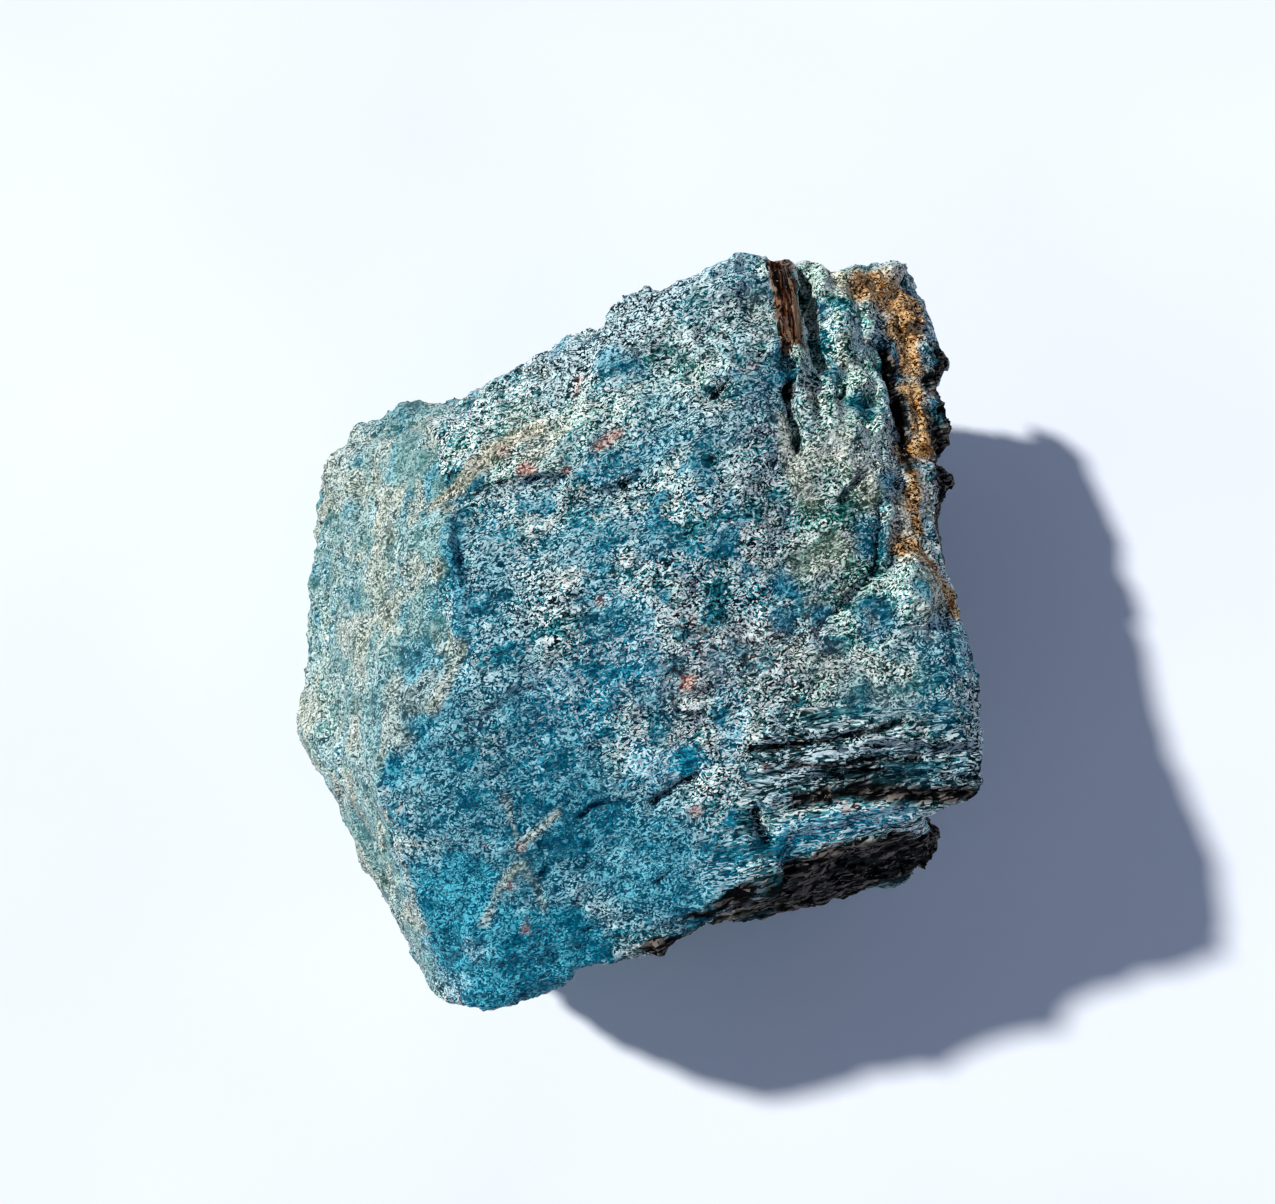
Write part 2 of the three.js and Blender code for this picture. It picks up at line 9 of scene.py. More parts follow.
import bmesh
import bpy
import numpy as np
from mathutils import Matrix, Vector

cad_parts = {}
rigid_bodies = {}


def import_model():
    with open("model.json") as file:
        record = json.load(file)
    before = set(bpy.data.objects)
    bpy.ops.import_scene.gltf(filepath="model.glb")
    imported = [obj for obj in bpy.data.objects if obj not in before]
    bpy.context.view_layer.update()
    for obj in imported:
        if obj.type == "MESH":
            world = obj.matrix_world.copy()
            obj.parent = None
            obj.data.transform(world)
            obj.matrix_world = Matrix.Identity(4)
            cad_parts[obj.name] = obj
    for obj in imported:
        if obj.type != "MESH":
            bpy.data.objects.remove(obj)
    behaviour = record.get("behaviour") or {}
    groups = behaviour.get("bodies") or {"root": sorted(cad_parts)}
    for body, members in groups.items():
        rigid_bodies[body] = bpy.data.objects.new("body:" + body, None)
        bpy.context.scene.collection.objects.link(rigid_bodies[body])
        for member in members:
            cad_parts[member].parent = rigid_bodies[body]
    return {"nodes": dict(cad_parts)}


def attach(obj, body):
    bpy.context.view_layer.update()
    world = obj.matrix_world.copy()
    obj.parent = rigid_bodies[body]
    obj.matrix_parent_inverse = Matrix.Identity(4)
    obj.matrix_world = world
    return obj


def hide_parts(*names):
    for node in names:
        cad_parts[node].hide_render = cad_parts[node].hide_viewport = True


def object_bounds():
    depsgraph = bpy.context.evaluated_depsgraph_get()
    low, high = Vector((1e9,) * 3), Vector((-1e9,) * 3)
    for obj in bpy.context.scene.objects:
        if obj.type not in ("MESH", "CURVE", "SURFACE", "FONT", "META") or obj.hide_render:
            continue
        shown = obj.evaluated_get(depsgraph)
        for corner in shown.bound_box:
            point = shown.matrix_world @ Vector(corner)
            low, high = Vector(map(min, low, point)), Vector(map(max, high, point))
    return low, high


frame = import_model()
CAD_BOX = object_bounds()

MM = 0.001
STONE_NODE = "rough_apatite"
BODY = "root"
LOG = logging.getLogger("apatite")

Point = tuple[float, float, float]
Plan = tuple[float, float]
Rgba = tuple[float, float, float, float]
Socket = bpy.types.NodeSocket


def linear(red: int, green: int, blue: int) -> Rgba:
    """Turns a screen colour into the linear colour that materials use.

    Args:
        red: Red, from 0 to 255.
        green: Green, from 0 to 255.
        blue: Blue, from 0 to 255.

    Returns:
        The linear colour, with full alpha.
    """
    def channel(value: int) -> float:
        """One channel, from the screen's curve to linear."""
        share = value / 255
        return share / 12.92 if share <= 0.04045 else ((share + 0.055) / 1.055) ** 2.4

    return channel(red), channel(green), channel(blue), 1.0


def shades(*stops: tuple) -> tuple[tuple[float, Rgba], ...]:
    """A scale of colours.

    Args:
        stops: For each stop its place from 0 to 1 and its screen colour.

    Returns:
        For each stop its place and its linear colour.
    """
    return tuple((place, linear(*colour)) for place, *colour in stops)


def eased(values: np.ndarray, low: float, high: float | np.ndarray) -> np.ndarray:
    """Smooth step from 0 at low to 1 at high.

    Args:
        values: Any numbers.
        low: Where the step starts.
        high: Where the step ends.

    Returns:
        Numbers from 0 to 1, in the same order.
    """
    share = np.clip((values - low) / (high - low), 0, 1)
    return share * share * (3 - 2 * share)


def read_points(mesh: bpy.types.Mesh) -> np.ndarray:
    """A mesh's points in millimetres, three numbers to a row.

    Args:
        mesh: Any mesh.

    Returns:
        Its points.
    """
    points = np.zeros(len(mesh.vertices) * 3, np.float32)
    mesh.vertices.foreach_get("co", points)
    return points.reshape(-1, 3).astype(float) / MM


def write_points(mesh: bpy.types.Mesh, points: np.ndarray) -> None:
    """Moves a mesh's points to new places, in millimetres."""
    mesh.vertices.foreach_set("co", (points * MM).astype(np.float32).ravel())
    mesh.update()


def kept_inside(points: np.ndarray) -> np.ndarray:
    """Points held inside the CAD solid's box, in millimetres."""
    low, high = (np.array(corner) / MM for corner in CAD_BOX)
    return np.clip(points, low, high)


def store(mesh: bpy.types.Mesh, name: str, values: np.ndarray) -> None:
    """Keeps one number for each point under a name that materials read."""
    layer = mesh.attributes.new(name, "FLOAT", "POINT")
    layer.data.foreach_set("value", values.astype(np.float32))


def stored(mesh: bpy.types.Mesh, name: str) -> np.ndarray:
    """The numbers kept under a name.

    Args:
        mesh: The mesh that keeps them.
        name: Their name.

    Returns:
        One number for each point.
    """
    values = np.zeros(len(mesh.vertices), np.float32)
    mesh.attributes[name].data.foreach_get("value", values)
    return values.astype(float)


def placed(name: str, data: bpy.types.ID) -> bpy.types.Object:
    """A new object in the scene, at the origin.

    Args:
        name: Its name.
        data: Its mesh, light or camera.

    Returns:
        The object.
    """
    thing = bpy.data.objects.new(name, data)
    bpy.context.scene.collection.objects.link(thing)
    return thing


class Zone(Enum):
    """The kinds of ground that the stone's surface shows. Each value names its mask."""

    RUST = "rust"
    # Black mica and dark layers, and painted shade on the walls and in the cracks.
    MICA_AND_SHADE = "mica"
    PALE = "pale"
    DEEP = "deep"
    GREEN = "green"
    BRIGHT = "bright"
    GREY = "grey"
    TAN = "tan"
    PINK = "pink"
    BROWN = "brown"
    CLEAR = "clear"


class Pattern(IntEnum):
    """The patterns of unevenness. Each value is the first channel that the pattern draws from."""

    CHUNKS = 0
    SMALL_CHUNKS = 20
    GRAINS = 40
    BLOCKS = 50
    SMALL_GRAINS = 60
    STREAKS = 70
    LAYERS = 80
    THIN_LAYERS = 84
    SHELF_RIDGES = 90
    SHELF_WAVES = 98
    CRACK_EASTWARD = 110
    CRACK_NORTHWARD = 112
    WALL_TOP = 150
    WALL_FOOT = 153
    WALL_PATCHES = 156
    WALL_LAYERS = 159
    PALE_EDGE = 160
    WALL_ENDS = 162
    PALE_PATCHES = 163
    PALE_FOOT = 166
    FIBRES = 170


@dataclass(frozen=True)
class Stain:
    """A stretch of the stone of one kind, in millimetres.

    Attributes:
        zone: What kind of ground it is.
        path: The points that it follows on the stone.
        reach: How far it spreads to each side of the path.
        strength: How fully it shows at the path itself.
    """

    zone: Zone
    path: tuple[Point, ...]
    reach: float
    strength: float


@dataclass(frozen=True)
class Scatter:
    """Patches of one kind of ground, strewn without plan over a larger ground.

    Attributes:
        zone: What kind of ground the patches are.
        within: The zone that they lie in, or none for all of the stone's blue ground.
        wavelength: How far apart they are, in millimetres.
        threshold: How rare they are, from 0 to 1.
        strength: How fully they show.
    """

    zone: Zone
    within: Zone | None
    wavelength: float
    threshold: float
    strength: float


@dataclass(frozen=True)
class Crack:
    """A crack in the top of the stone, in millimetres.

    Attributes:
        path: The points that it follows on plan.
        width: How far it reaches to each side of the path.
        depth: How deep it is at the path.
    """

    path: tuple[Plan, ...]
    width: float
    depth: float


@dataclass(frozen=True)
class FlakeEdge:
    """A line in the top face along which the ground to its right is lower, in millimetres.

    Attributes:
        path: The points that it follows on plan.
        drop: How much lower the ground is beside it.
        run: How far from it the ground is back at its old level.
    """

    path: tuple[Plan, ...]
    drop: float
    run: float


def stains(zone: Zone, *rows: tuple) -> tuple[Stain, ...]:
    """Stains of one kind.

    Args:
        zone: What kind of ground they are.
        rows: For each stain its reach, its strength and then its points.

    Returns:
        The stains, in the same order.
    """
    return tuple(Stain(zone, tuple(path), reach, strength) for reach, strength, *path in rows)


NORTH_WEST_EDGE = ((-3.6, 20.7, 32.2), (-0.2, 22.8, 34.0), (3.2, 25.4, 33.9), (6.6, 27.9, 34.4))

STAINS = (
    # The deep blue ground of the lower left and its outliers.
    *stains(Zone.DEEP,
        (8.5, 0.8, (-14.7, -7.7, 34.3), (-11.4, -15.7, 33.9), (-6.5, -22.2, 33.0)),
        (7.5, 0.9, (-4.8, -9.4, 36.1), (-3.2, -15.8, 34.7), (1.6, -20.5, 34.0), (6.4, -22.1, 34.8)),
        (7.0, 1.4, (-10.7, -23.8, 31.4), (-10.0, -29.6, 29.7), (-3.3, -27.8, 31.8)),
        (6.0, 1.4, (-9.0, -31.5, 29.4), (-11.2, -28.0, 30.2)),
        (1.8, 1.0, (-16.9, -12.9, 32.4), (-17.4, -14.1, 31.8)),
        (2.3, 0.8, (22.1, -0.8, 37.0), (22.4, -1.6, 37.0)),
    ),
    *stains(Zone.GREY,
        (2.3, 1.0, (22.1, -0.8, 37.0), (22.4, -1.6, 37.0)),
        (1.7, 0.8, (21.7, 6.0, 36.6), (21.4, 4.4, 36.8)),
    ),
    *stains(Zone.DEEP,
        (1.7, 0.65, (21.7, 6.0, 36.6), (21.4, 4.4, 36.8)),
    ),
    *stains(Zone.GREY,
        (2.6, 0.9, (27.7, -2.4, 35.9), (26.4, -3.4, 36.6)),
    ),
    *stains(Zone.DEEP,
        (2.6, 0.55, (27.7, -2.4, 35.9), (26.4, -3.4, 36.6)),
        (1.8, 0.8, (25.7, 0.9, 37.4)),
        (1.8, 0.9, (17.7, -0.9, 37.6)),
        (4.0, 0.9, (-14.8, -22.0, 29.5), (-13.2, -25.5, 29.6)),
        (6.0, 0.7, (-12.0, -13.0, 34.0), (-9.0, -18.0, 33.4), (-12.0, -22.0, 31.4)),
        (2.6, 0.8, (-16.5, -14.6, 31.6)),
        (5.4, 0.45, (-4.0, -22.6, 33.0), (1.0, -20.5, 34.0)),
        (3.6, 0.35, (2.5, -24.5, 33.0), (7.0, -22.6, 34.4)),
        (1.7, 0.9, (-12.0, 6.8, 35.0), (-12.0, 2.0, 36.0), (-11.1, -3.0, 36.5)),
        (3.8, 0.55, (-9.6, 5.6, 35.6), (-8.6, 1.4, 36.4), (-9.2, -2.6, 36.6)),
        (4.0, 0.6, (-7.0, -5.0, 37.0), (-6.0, -9.0, 36.6)),
        (2.2, 0.75, (1.6, -0.9, 39.1), (3.2, -1.8, 39.3)),
        (2.6, 0.7, (2.8, 11.8, 36.6), (5.6, 13.6, 36.4)),
        (2.0, 0.7, (0.6, 20.8, 34.6), (2.6, 19.6, 35.0)),
        (2.4, 0.6, (20.0, -7.6, 37.6), (27.0, -8.6, 37.0)),
        (2.2, 0.5, (11.0, 27.6, 34.6), (13.4, 26.6, 34.8)),
        (1.6, 0.7, (18.5, 24.0, 33.0), (19.3, 20.0, 34.0)),
    ),
    # The brighter, cyan ground in the middle and beside the gash, and painted light on the ledge under the
    # lip.
    *stains(Zone.BRIGHT,
        (2.2, 1.3, (3.2, -12.6, 36.2), (5.4, -13.2, 36.2), (7.0, -12.6, 36.4)),
        (3.8, 0.8, (-3.2, -7.1, 37.0), (0.8, -6.3, 37.6), (3.2, -4.1, 38.7)),
        (3.8, 0.7, (0.0, -5.2, 38.0), (-0.6, -9.0, 37.2)),
        (3.2, 0.5, (-4.0, -7.4, 37.0), (-4.6, -12.0, 35.8)),
        (3.0, 0.6, (9.0, -21.5, 34.8), (14.0, -20.2, 34.6)),
        # Painted light: the ledge under the lip is made lighter to stand in for the sun that its slope
        # misses.
        (1.8, 1.3, (15.2, -18.5, 35.2), (20.0, -17.7, 35.2), (24.3, -16.7, 35.9)),
        (2.6, 0.6, (11.5, 28.4, 34.6), (9.5, 28.0, 34.4)),
    ),
    # The green ground along the east, in the north and in the north-west.
    *stains(Zone.GREEN,
        (7.5, 0.55, (-6.9, 15.2, 33.1), (-0.1, 18.1, 35.0), (6.5, 21.4, 35.4), (11.6, 25.8, 35.5)),
        (5.0, 0.85, (17.9, 8.5, 36.5), (20.1, 3.4, 37.1), (21.7, -0.6, 36.9)),
        (4.0, 0.55, (19.0, -5.6, 38.1), (23.8, -6.4, 37.9)),
        (7.0, 0.4, (-28.2, 2.0, 10.3), (-29.3, -5.8, 8.6), (-24.1, -12.0, 19.1)),
        (7.6, 1.05, (19.5, 28.0, 30.4), (20.4, 24.0, 32.0), (20.8, 16.0, 34.0)),
        (4.2, 0.75, (18.5, 10.5, 36.6), (20.1, 5.4, 37.0)),
        (3.0, 1.1, (24.6, 0.9, 37.2), (27.4, -0.8, 36.4)),
        (1.4, 0.6, (28.5, 24.8, 27.6), (28.0, 24.2, 28.1)),
        (2.6, 0.6, (-11.4, 14.2, 32.4), (-9.4, 15.2, 32.6), (-8.2, 11.6, 34.4)),
        (2.2, 0.7, (29.0, -12.8, 37.0)),
    ),
    # The darker, greyer ground of the layered south-east corner.
    *stains(Zone.GREY,
        (3.2, 1.2, (14.0, -13.2, 36.8), (22.0, -13.0, 37.0), (30.0, -13.6, 36.6)),
        (2.6, 0.9, (14.0, -10.4, 37.2), (21.0, -10.8, 37.4), (29.0, -11.4, 37.0)),
        (2.2, 0.8, (-9.4, 2.4, 35.9), (-7.8, 3.4, 36.2)),
        (1.0, 0.9, (-10.6, 9.4, 34.0), (-4.7, 10.4, 34.4)),
        (1.6, 0.8, (-2.3, 9.0, 35.4), (0.3, 8.6, 36.0), (3.0, 10.2, 36.4)),
        (2.8, 0.7, (-8.1, 1.5, 36.2), (-4.8, 2.2, 37.2), (-8.1, -0.6, 36.7)),
        (4.6, 0.5, (8.1, 14.9, 37.6), (13.0, 16.7, 37.0), (11.3, 9.8, 38.0)),
        (3.0, 0.5, (-13.6, -9.6, 34.6), (-11.0, -8.6, 35.4)),
        (5.0, 0.9, (-3.0, -20.6, 33.8), (4.6, -21.6, 34.4)),
        (5.2, 1.0, *NORTH_WEST_EDGE),
    ),
    # The pale green and cream ground.
    *stains(Zone.PALE,
        (2.6, 0.4, (19.0, 4.0, 37.4), (17.6, -0.6, 38.0)),
        (3.2, 0.6, (-7.0, 15.8, 33.0), (-3.4, 13.4, 34.8)),
        (2.2, 0.6, (3.0, 26.6, 33.6), (1.6, 25.6, 33.4)),
        (2.0, 0.6, (-8.6, -22.6, 32.2), (-6.8, -21.0, 33.0)),
    ),
    # Tan and cream seams.
    *stains(Zone.TAN,
        (2.0, 0.45, (16.0, 2.5, 37.4), (19.4, 4.7, 36.9)),
        (3.2, 0.15, (19.0, -5.6, 38.1), (23.8, -6.0, 37.9)),
        (1.6, 0.8, (27.1, 1.9, 36.5), (28.0, 0.4, 35.6)),
        (1.2, 0.9, (-14.2, 9.0, 31.9), (-11.9, 10.7, 33.1), (-10.2, 12.3, 33.8)),
        (1.5, 0.9, (-10.2, 12.3, 33.8), (-8.1, 14.1, 33.4), (-5.6, 15.3, 33.4)),
        (2.0, 0.55, (-5.9, 12.8, 35.0), (-4.0, 14.6, 34.2)),
        (1.6, 0.6, (15.0, 15.0, 36.4), (16.0, 11.0, 36.8), (17.0, 8.6, 37.0)),
        (2.4, 0.55, (20.6, 12.0, 35.6), (22.2, 9.0, 36.2)),
        (2.4, 0.8, (25.0, 8.4, 34.6), (25.2, 4.4, 35.4), (27.4, 2.0, 35.4)),
        (1.8, 0.6, (27.0, 10.6, 33.0), (27.2, 8.8, 33.2)),
        (1.1, 0.5, (-12.6, 8.0, 33.4), (-13.4, 3.0, 34.0)),
        (1.2, 0.6, (-11.4, -3.6, 36.2), (-13.6, -8.2, 35.2)),
        (0.8, 0.5, (-18.0, -16.6, 30.0), (-16.2, -22.6, 29.2), (-14.8, -26.6, 28.8)),
        (3.0, 0.45, (-20.0, 5.0, 25.0), (-19.0, 1.0, 27.0)),
        (2.6, 0.4, (-27.0, 6.0, 15.0), (-26.4, 1.0, 17.0)),
        (2.6, 0.5, (-17.4, -6.4, 31.6), (-16.2, -10.2, 32.6)),
        (0.5, 0.6, (-3.5, -16.8, 34.5), (-4.9, -18.1, 33.9), (-6.5, -19.4, 33.5)),
        (0.6, 0.5, (-6.7, -21.0, 33.1), (-8.2, -22.8, 32.4), (-9.4, -25.6, 32.0)),
        (0.4, 0.4, (-6.5, -19.4, 33.5), (-7.3, -17.3, 33.9), (-7.7, -15.6, 34.4)),
        (0.4, 0.4, (-6.3, -20.7, 33.2), (-5.3, -22.6, 33.1), (-4.5, -24.7, 32.7)),
        (0.3, 0.8, (-2.3, 17.7, 33.6), (-2.0, 13.0, 34.8), (-1.7, 8.9, 35.6)),
        (4.0, 1.1, (2.0, -29.0, 26.0), (8.0, -27.0, 26.0), (14.0, -24.6, 27.0)),
    ),
    *stains(Zone.BROWN,
        (4.0, 0.35, (2.0, -29.0, 26.0), (8.0, -27.0, 26.0), (14.0, -24.6, 27.0)),
    ),
    # A pinkish grey haze and pinkish specks.
    *stains(Zone.PINK,
        (3.8, 0.1, (6.4, -6.4, 38.1), (11.1, -4.0, 38.5), (17.5, -4.0, 38.0)),
        (0.9, 0.9, (-5.9, 11.1, 35.3), (-6.4, 11.4, 35.2)),
        (0.6, 0.8, (-3.0, 11.2, 35.3)),
        (0.6, 0.8, (-0.3, 13.2, 35.7), (1.3, 14.3, 35.8)),
        (0.7, 0.6, (-2.7, 18.7, 33.4), (-2.0, 19.4, 33.6)),
        (1.0, 0.4, (-8.2, 13.2, 33.8)),
        (0.8, 1.0, (6.8, -6.8, 38.0), (7.1, -6.3, 38.0)),
        (0.6, 0.6, (0.0, -0.1, 38.7)),
        (0.6, 0.7, (7.7, -16.6, 36.0)),
        (0.6, 0.5, (13.2, -13.2, 36.8)),
        (0.6, 0.8, (-7.3, -22.6, 32.7)),
        (0.5, 0.7, (-6.4, -19.6, 33.5)),
        (1.0, 0.6, (-28.6, -12.6, 9.0), (-28.0, -14.0, 8.6)),
    ),
    # The low shelf: mint green and teal crystals with a blue one, cream ones and a tan edge.
    *stains(Zone.GREEN,
        (3.2, 1.1, (17.7, 30.3, 30.4), (19.1, 27.7, 32.4), (21.1, 29.7, 30.6)),
    ),
    *stains(Zone.DEEP,
        (1.3, 1.2, (18.5, 26.1, 31.9)),
    ),
    *stains(Zone.BRIGHT,
        (1.6, 0.6, (19.5, 23.7, 32.3), (22.2, 23.2, 31.3), (24.2, 25.1, 29.5)),
    ),
    *stains(Zone.DEEP,
        (1.5, 0.7, (21.2, 17.4, 34.4), (22.2, 16.8, 33.6)),
    ),
    *stains(Zone.GREEN,
        (1.1, 1.1, (16.5, 21.2, 36.2), (16.8, 18.5, 36.8)),
    ),
    *stains(Zone.BRIGHT,
        (1.8, 0.7, (27.7, 24.0, 27.4), (30.0, 26.6, 25.1)),
    ),
    *stains(Zone.TAN,
        (2.8, 1.0, (21.4, 28.8, 29.9), (24.7, 30.0, 27.4)),
        (0.8, 0.8, (17.1, 17.8, 35.6), (17.5, 17.1, 35.6)),
        (2.4, 0.5, (17.1, 12.2, 36.5), (19.9, 13.4, 36.9)),
        (1.0, 0.6, (22.9, 23.7, 31.2)),
        (0.9, 0.6, (20.3, 21.0, 32.6)),
    ),
    # Where the crystals are larger and clearer.
    *stains(Zone.CLEAR,
        (7.0, 1.2, (18.5, 29.0, 31.0), (20.0, 22.0, 32.5), (21.5, 15.5, 34.4)),
        (2.4, 1.2, (27.7, 24.0, 27.4), (30.0, 26.6, 25.1)),
        (2.8, 1.0, (8.2, 27.0, 35.5), (11.6, 28.8, 35.5), (13.8, 28.1, 34.9)),
        (3.0, 0.3, *NORTH_WEST_EDGE),
        (6.0, 0.6, (-10.0, -29.6, 29.7), (-5.5, -27.4, 31.2)),
        (1.8, 0.9, (3.2, -12.6, 36.2), (6.4, -13.2, 36.2)),
        (3.4, 0.6, (24.0, 0.4, 37.0), (27.0, -1.8, 37.0)),
    ),
    # Rust in the seams of the east side.
    *stains(Zone.RUST,
        (2.9, 1.4, (23.4, 29.4, 28.8), (26.9, 28.7, 27.2)),
        (3.0, 1.4, (26.9, 28.7, 27.2), (26.6, 25.8, 27.7)),
        (1.9, 1.2, (26.6, 24.3, 27.8), (26.8, 21.9, 28.4)),
        (1.7, 1.4, (26.9, 19.6, 29.2), (27.1, 15.8, 30.8)),
        (1.9, 1.3, (26.1, 13.7, 32.2), (29.0, 14.7, 28.2)),
        (1.0, 1.2, (26.2, 11.6, 32.6), (25.8, 8.6, 34.0), (26.2, 6.6, 34.3)),
        (1.4, 1.3, (24.4, 4.8, 35.2), (25.8, 4.8, 34.8), (26.4, 4.0, 35.2)),
        (1.1, 1.3, (26.4, 4.0, 35.2), (27.5, 2.7, 35.4), (28.8, 1.2, 34.4), (29.4, -0.4, 34.4)),
    ),
    # Black seams, and dark lines along the cracks and the shelf's groove that are painted shade in them.
    *stains(Zone.MICA_AND_SHADE,
        # Painted shade: dark lines along two cracks and the shelf's groove.
        (0.4, 1.2, (15.4, 21.6, 35.4), (15.7, 17.0, 36.4), (16.3, 12.6, 36.8)),
        (0.75, 1.2, (24.9, 23.3, 29.6), (25.5, 20.0, 29.9), (25.6, 15.5, 31.9), (25.8, 11.8, 32.9)),
        (0.8, 0.9, (17.2, 29.2, 29.0), (17.8, 25.2, 30.0), (18.6, 20.4, 32.0)),
        (1.8, 1.2, (30.2, 24.2, 26.0), (29.6, 21.0, 27.0), (29.4, 16.0, 28.0)),
        (1.8, 1.2, (29.4, 16.0, 28.0), (29.6, 10.0, 29.0), (28.8, 5.0, 31.0)),
        (1.3, 1.3, (16.0, -15.5, 35.3), (19.9, -15.0, 36.0), (24.0, -15.2, 36.4), (31.0, -15.2, 36.2)),
        (0.45, 1.2, (12.0, -11.8, 36.9), (15.1, -11.4, 36.9), (17.8, -11.0, 37.2)),
        (0.35, 1.0, (15.1, -12.9, 36.8), (19.0, -13.0, 36.9), (22.2, -13.3, 36.8)),
        (0.35, 1.0, (22.3, -11.2, 36.8), (25.6, -11.0, 37.0), (28.8, -11.6, 36.1)),
        (0.6, 0.7, (18.3, -13.6, 36.3), (21.3, -14.4, 36.7), (24.5, -14.1, 37.0)),
        (0.4, 1.0, (18.2, -11.2, 37.3), (20.9, -10.5, 38.0), (24.0, -9.6, 38.2)),
        (0.4, 1.1, (19.6, -12.9, 37.2), (22.2, -12.5, 36.9), (25.4, -12.4, 36.9)),
        (0.5, 0.7, (17.0, -13.9, 36.6), (23.0, -13.5, 36.8), (29.0, -14.0, 36.6)),
    ),
    # The greyer ground along the north edge.
    *stains(Zone.GREY,
        (4.6, 0.6, (2.0, 21.0, 35.2), (6.5, 23.5, 35.4), (11.0, 25.5, 35.4)),
    ),
)

SCATTERS = (
    Scatter(Zone.DEEP, None, 4.6, 0.16, 0.6),
    Scatter(Zone.DEEP, None, 2.1, 0.3, 0.9),
    Scatter(Zone.BRIGHT, None, 3.4, 0.3, 0.5),
    Scatter(Zone.GREY, None, 3.0, 0.28, 0.75),
    Scatter(Zone.PINK, None, 1.5, 0.62, 0.5),
    Scatter(Zone.DEEP, Zone.PALE, 2.4, 0.28, 0.65),
    Scatter(Zone.BRIGHT, Zone.PALE, 3.4, 0.22, 0.5),
    Scatter(Zone.GREY, Zone.PALE, 2.6, 0.28, 0.55),
    Scatter(Zone.TAN, Zone.PALE, 3.6, 0.14, 0.55),
    Scatter(Zone.TAN, Zone.PALE, 1.6, 0.42, 0.6),
    Scatter(Zone.TAN, Zone.GREEN, 2.6, 0.3, 0.45),
    Scatter(Zone.BRIGHT, Zone.GREEN, 2.2, 0.22, 0.5),
)

CRACKS = (
    Crack(((4.2, -16.1), (5.7, -15.3), (7.8, -14.1)), 0.55, 1.5),
    Crack(((12.5, -16.7), (13.0, -17.9), (13.5, -19.0)), 0.5, 1.6),
    Crack(((-1.9, -17.6), (-0.9, -16.5), (0.9, -16.1), (3.4, -15.8)), 0.3, 0.35),
    Crack(((12.0, -11.9), (15.1, -11.5), (17.8, -11.3)), 0.4, 0.7),
    Crack(((18.2, -11.2), (20.9, -10.6), (24.0, -9.6)), 0.35, 0.7),
    Crack(((19.6, -12.9), (22.2, -12.5), (25.4, -12.4)), 0.35, 0.8),
    Crack(((17.2, -14.1), (23.0, -13.6), (30.6, -14.2)), 0.4, 0.6),
    Crack(((15.4, 21.7), (15.6, 16.9), (16.2, 13.0)), 0.45, 1.5),
    Crack(((17.1, 29.6), (17.8, 25.2), (18.6, 20.2)), 0.6, 1.4),
    Crack(((24.6, 23.6), (25.1, 18.6), (25.4, 14.8)), 0.5, 1.4),
    Crack(((24.9, 10.6), (26.0, 9.4)), 0.5, 0.9),
    Crack(((17.4, -2.6), (20.1, -0.2), (22.4, 2.4)), 0.45, 1.1),
    Crack(((22.5, 2.6), (22.7, 5.1), (23.3, 8.6)), 0.45, 1.2),
    Crack(((-10.8, 9.4), (-8.4, 10.3), (-4.7, 10.6), (-2.1, 9.2), (0.3, 8.6), (3.2, 10.6)), 0.35, 0.25),
    Crack(((-10.2, -20.8), (-9.6, -22.2)), 0.4, 0.8),
    Crack(((8.6, 16.4), (10.6, 18.4)), 0.35, 0.7),
    Crack(((19.6, 8.4), (21.6, 10.6)), 0.4, 0.8),
)

FLAKE_EDGES = (
    FlakeEdge(((22.9, 10.0), (22.8, 6.0), (22.5, 3.0), (20.6, 1.0), (19.2, -1.1), (17.3, -2.7)), 0.5, 4.0),
    FlakeEdge(((5.0, 11.2), (2.6, 9.6), (-0.1, 8.6), (-3.4, 10.5), (-7.0, 10.3), (-10.6, 9.4)), 0.16, 5.0),
)

# The lip over the dark south-east wall, from west to east, and the ridge beside the pale west side.
LIP = (
    (1.0, -29.4), (3.2, -27.3), (6.4, -25.3), (11.1, -22.4), (16.1, -20.1), (18.5, -19.2), (23.7, -18.4),
    (32.0, -17.5),
)
RIDGE = (
    (-15.4, 20.0), (-14.4, 15.2), (-13.8, 12.2), (-12.4, 9.1), (-12.5, 5.3), (-12.9, 0.5), (-11.9, -3.0),
    (-12.4, -7.8), (-15.4, -9.6), (-18.2, -13.2), (-18.0, -16.0), (-17.4, -20.0), (-16.0, -23.2),
    (-14.7, -26.6), (-14.0, -31.0), (-13.0, -35.0),
)


